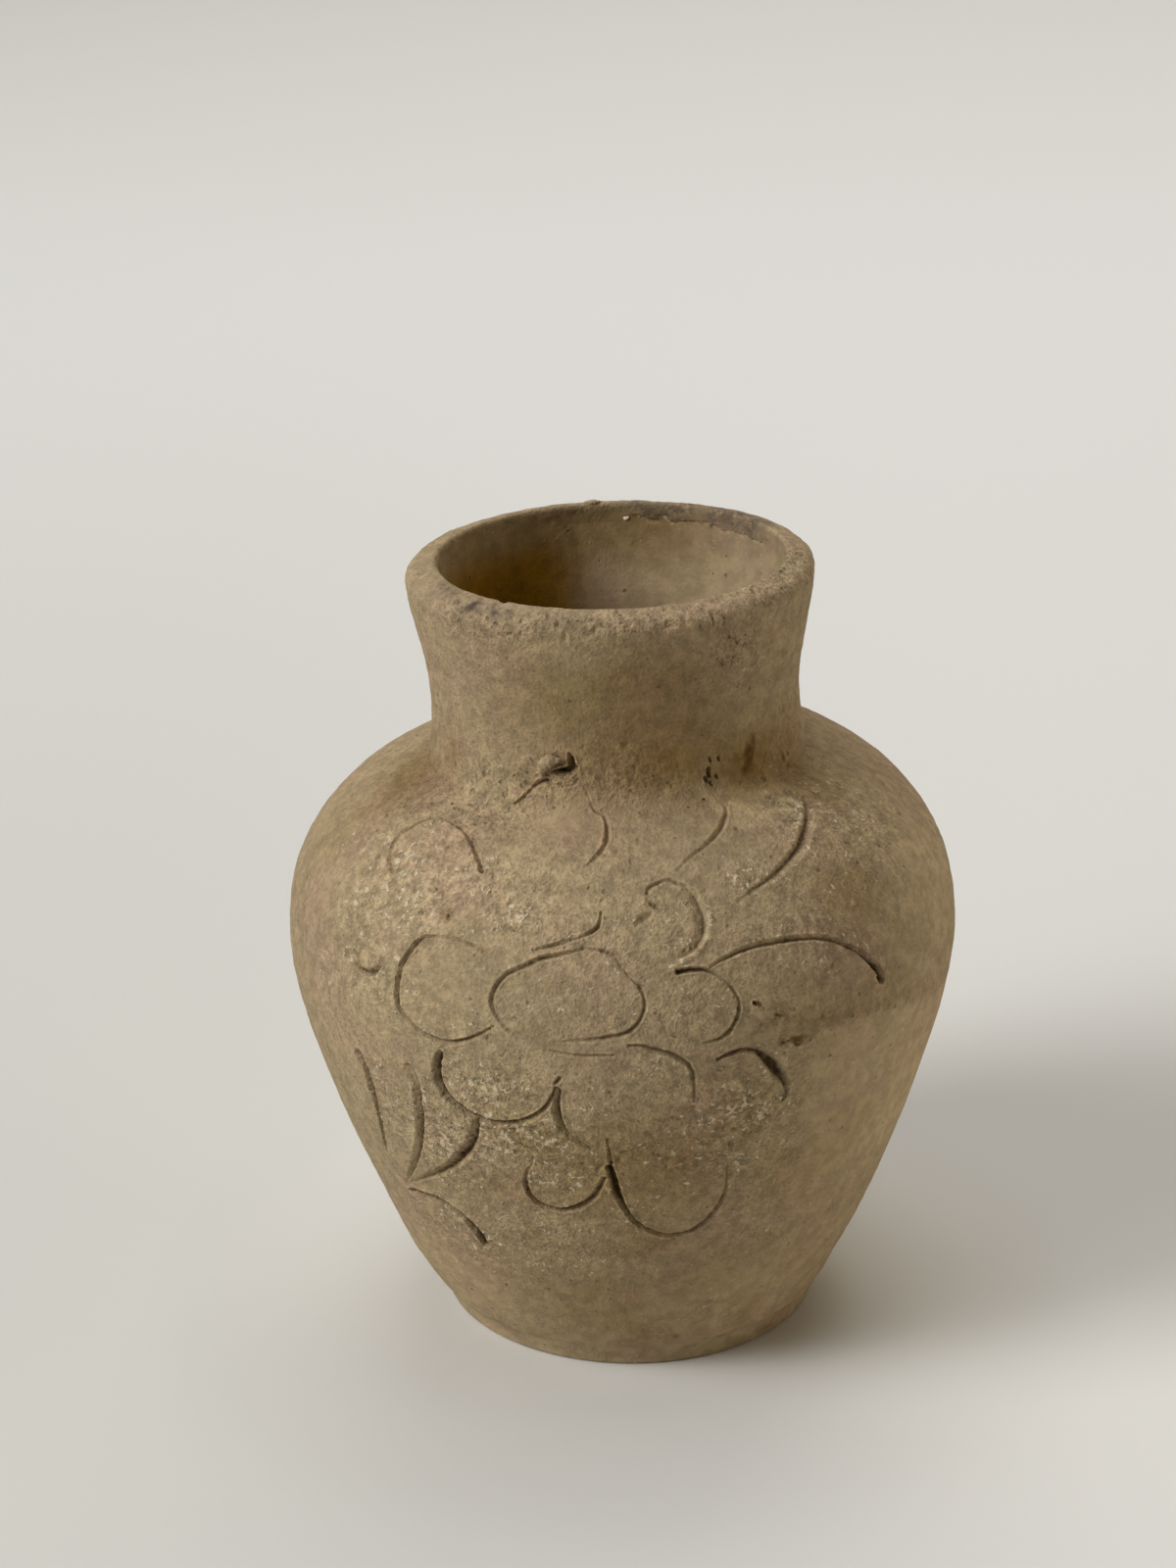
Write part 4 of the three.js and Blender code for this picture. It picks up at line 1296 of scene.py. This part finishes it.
def fired_clay(name, khaki, pink, grey):
    """Matt fired clay with its grain, crust, pinholes and stains, the earth in its cuts, whose dark bottoms
    are partly painted shade, and a painted shade tint where the jar lies in shade.
    """
    material, n, shader, where = principled(name)
    in_mm = n.add("ShaderNodeMapping")
    in_mm.inputs["Scale"].default_value = (1 / MM, 1 / MM, 1 / MM)
    n.join(where, in_mm.inputs["Vector"])
    place = in_mm.outputs["Vector"]

    def mark(label):
        return n.add("ShaderNodeAttribute", attribute_name=label).outputs["Fac"]

    def group(tree, **values):
        node = n.add("ShaderNodeGroup", node_tree=tree)
        for label, value in values.items():
            n.put(node.inputs[label], value)
        n.join(place, node.inputs["Place in mm"])
        return node.outputs

    body = group(SANDY_BODY, Khaki=khaki, Pink=pink, Grey=grey, Grain=mark("grain"))
    crust = group(LIME_CRUST, Amount=mark("crusted"))["Mask"]
    pinholes = group(PINHOLES, Amount=mark("pitted"))["Mask"]
    patchy = n.noise(place, PATCH, 3, 0.65)
    blotched = n.shade(body["Colour"], n.band(patchy, 0.36, 0.64, 0.80, 1.32))
    colour = n.mix(mark("crusted"), body["Colour"], blotched)
    colour = n.shade(colour, BROWNER, mark("browned"))
    colour = n.shade(colour, PALER, mark("paled"))
    colour = n.mix(n.times(pinholes, 0.45), colour, HOLE_BROWN)
    # Painted shade: a dark brown tint inside the neck where the rim's shadow falls, and outside where the
    # jar lies in shade
    colour = n.shade(colour, PAINTED_SHADE_TINT, mark("smoked"))
    colour = n.mix(n.times(crust, 0.78), colour, CRUST_CREAM)
    # Earth in the cuts, whose dark bottoms are partly painted shade, rust stains, and soot
    for label, low, high, least, most, stuff in (
            ("cut", 0.25, 0.6, 0.55, 1.0, EARTH_AND_GROOVE_SHADE),
            ("stained", 0.35, 0.6, 0.3, 0.9, RUST),
            ("soot", 0.36, 0.56, 0.2, 0.95, SOOT_GREY)):
        colour = n.mix(n.times(mark(label), n.band(patchy, low, high, least, most)), colour, stuff)
    n.join(colour, shader.inputs["Base Color"])
    shader.inputs["Roughness"].default_value = CLAY_ROUGHNESS
    shader.inputs["Specular IOR Level"].default_value = CLAY_SHEEN
    height = n.minus(n.plus(body["Height"], n.times(crust, 0.11)), n.times(pinholes, 0.2))
    bump = n.add("ShaderNodeBump")
    bump.inputs["Strength"].default_value = 1.0
    bump.inputs["Distance"].default_value = MM
    n.join(height, bump.inputs["Height"])
    n.join(bump.outputs["Normal"], shader.inputs["Normal"])
    return material


# The five sections of the jar: node, clay, whether its outline is closed, and stretches of the skin

SECTIONS = [
    ("base_disc", "base_clay", False,
     [("axis", "under_edge", 2.0), ("under_edge", "base_top", 0.35), ("floor_edge", "floor_middle", 1.6)]),
    ("lower_wall", "lower_wall_clay", True,
     [("base_top", "seam", 0.52), ("seam_inside", "floor_edge", 1.7)]),
    ("shoulder_wall", "shoulder_clay", True,
     [("seam", "neck_joint", 0.42), ("neck_joint_inside", "seam_inside", 2.0)]),
    ("neck_collar", "neck_clay", True,
     [("neck_joint", "lip_joint", 0.33), ("lip_joint_inside", "neck_joint_inside", 0.55)]),
    ("lip_coil", "lip_clay", True,
     [("lip_joint", "crest", 0.2), ("crest", "lip_joint_inside", 0.2)]),
]
for section in SECTIONS:
    thrown_section(*section)


# Two crumbs of clay that stuck to the damp jar, and a chip of lime

crumb_clay = fired_clay("crumb_clay", PALE_KHAKI, KHAKI, PINK)
lime_clay = fired_clay("lime_clay", LIME, LIME, PALE_KHAKI)
RIM = CREST - UP_WALL_START
clay_crumb("clay_crumb_neck", crumb_clay,
           [(-22.4, 105), (-22.3, 106.4), (-21, 107.5), (-18.8, 108), (-16.2, 108.4)], 0.95, 0.85, 0.6, 81)
clay_crumb("lime_chip_rim", lime_clay,
           [(173.2, RIM + 1.4), (174.4, RIM + 1.7), (175.5, RIM + 1.6)], 0.3, 0.19, 0.05, 83)
clay_crumb("clay_crumb_rim", crumb_clay,
           [(182.8, RIM - 1.1), (185.2, RIM - 0.9), (188.6, RIM - 1.3)], 0.4, 0.36, 0.15, 82)


# Floor, light and camera

FLOOR_SIZE = 6.0
FLOOR_DROP = 0.00002
FLOOR_ROUGHNESS, FLOOR_SHEEN = 0.6, 0.4
# Floor colours with painted light: lighter towards the right and the back, and round the jar's foot
FLOOR_LEFT = (0.64, 0.65, 0.61, 1)
FLOOR_RIGHT = (0.75, 0.76, 0.73, 1)
FLOOR_PAINTED_LIGHT_AT_FOOT = (0.93, 0.93, 0.90, 1)
FLOOR_BACK_LEFT = (0.79, 0.81, 0.79, 1)
FLOOR_BACK_RIGHT = (0.89, 0.91, 0.91, 1)

# Lamps: degrees round from +X, degrees up, width, height, power and colour
LAMP_DISTANCE = 2.2
LAMPS = {
    "window": (204, 35, 0.8, 1.4, 32.0, (1.0, 0.985, 0.985)),
    "window_front": (216, 31, 0.9, 1.2, 8.4, (1.0, 0.985, 0.96)),
    "ceiling": (90, 80, 1.6, 1.6, 19.3, (1.0, 0.95, 0.97)),
    "room_right": (0, 10, 1.2, 1.0, 11.4, (1.0, 0.86, 0.69)),
    "room_behind": (82, 35, 1.8, 1.4, 10.3, (1.0, 0.95, 0.78)),
    "room_front": (330, 10, 1.0, 1.0, 1.4, (1.0, 0.9, 0.5)),
}
LIT_MIDDLE = Vector((0, 0, 0.06))
ROOM_COLOUR, ROOM_STRENGTH = (1.0, 0.93, 0.80, 1), 0.03

CAMERA_PLACE = (-0.005065, -0.4687, 0.2641)
CAMERA_LOOKS_DOWN = 21.45
CAMERA_LENS, CAMERA_SENSOR, CAMERA_SEES_TO = 80, 36, 20


def pale_floor():
    """A floor of pale paper with painted light: a little darker in front and at the left, lighter at the
    right and at the back, and lighter round the foot, which lightens the jar's shadow there.
    """
    deselect_everything()
    bpy.ops.mesh.primitive_plane_add(size=FLOOR_SIZE, location=(0, 0, -FLOOR_DROP))
    floor = bpy.context.object
    floor.name = "floor"
    bpy.ops.object.transform_apply(location=True)
    material, n, shader, where = principled("pale_paper")
    parts = n.add("ShaderNodeSeparateXYZ")
    n.join(where, parts.inputs["Vector"])
    near = n.mix(n.band(parts.outputs["X"], -0.12, 0.12), FLOOR_LEFT, FLOOR_RIGHT)
    from_foot = n.add("ShaderNodeVectorMath", operation="LENGTH")
    n.join(where, from_foot.inputs[0])
    # Painted light round the foot, which lightens the jar's shadow next to it
    painted_light_at_foot = n.band(from_foot.outputs["Value"], 0.07, 0.034)
    near = n.mix(n.times(painted_light_at_foot, 0.5), near, FLOOR_PAINTED_LIGHT_AT_FOOT)
    far = n.mix(n.band(parts.outputs["X"], -0.4, 0.5), FLOOR_BACK_LEFT, FLOOR_BACK_RIGHT)
    n.join(n.mix(n.band(parts.outputs["Y"], -0.05, 0.75), near, far), shader.inputs["Base Color"])
    shader.inputs["Roughness"].default_value = FLOOR_ROUGHNESS
    shader.inputs["Specular IOR Level"].default_value = FLOOR_SHEEN
    floor.data.materials.append(material)


def in_scene(name, data):
    """A new object in the scene that holds a lamp or a camera."""
    holder = bpy.data.objects.new(name, data)
    bpy.context.scene.collection.objects.link(holder)
    return holder


def soft_lamp(name, degrees_round, degrees_up, width, height, power, colour):
    """A soft lamp that looks at the jar."""
    lamp = bpy.data.lights.new(name, "AREA")
    lamp.shape = "RECTANGLE"
    lamp.size = width
    lamp.size_y = height
    lamp.energy = power
    lamp.color = colour
    turn, climb = math.radians(degrees_round), math.radians(degrees_up)
    flat = math.cos(climb)
    direction = Vector((math.cos(turn) * flat, math.sin(turn) * flat, math.sin(climb)))
    holder = in_scene(name, lamp)
    holder.location = LIT_MIDDLE + direction * LAMP_DISTANCE
    holder.rotation_euler = direction.to_track_quat("Z", "Y").to_euler()


def light_the_jar():
    """Light from a window at the left, and what a pale room sends back."""
    for name, settings in LAMPS.items():
        soft_lamp(name, *settings)
    world = bpy.data.worlds.new("room")
    bpy.context.scene.world = world
    world.use_nodes = True
    background = world.node_tree.nodes["Background"]
    background.inputs["Color"].default_value = ROOM_COLOUR
    background.inputs["Strength"].default_value = ROOM_STRENGTH


def set_camera():
    camera = bpy.data.cameras.new("camera")
    camera.lens = CAMERA_LENS
    camera.sensor_width = CAMERA_SENSOR
    camera.clip_end = CAMERA_SEES_TO
    holder = in_scene("camera", camera)
    holder.location = CAMERA_PLACE
    holder.rotation_euler = (math.radians(90 - CAMERA_LOOKS_DOWN), 0, 0)
    bpy.context.scene.camera = holder


pale_floor()
light_the_jar()
set_camera()
bpy.context.scene.view_settings.view_transform = "Standard"
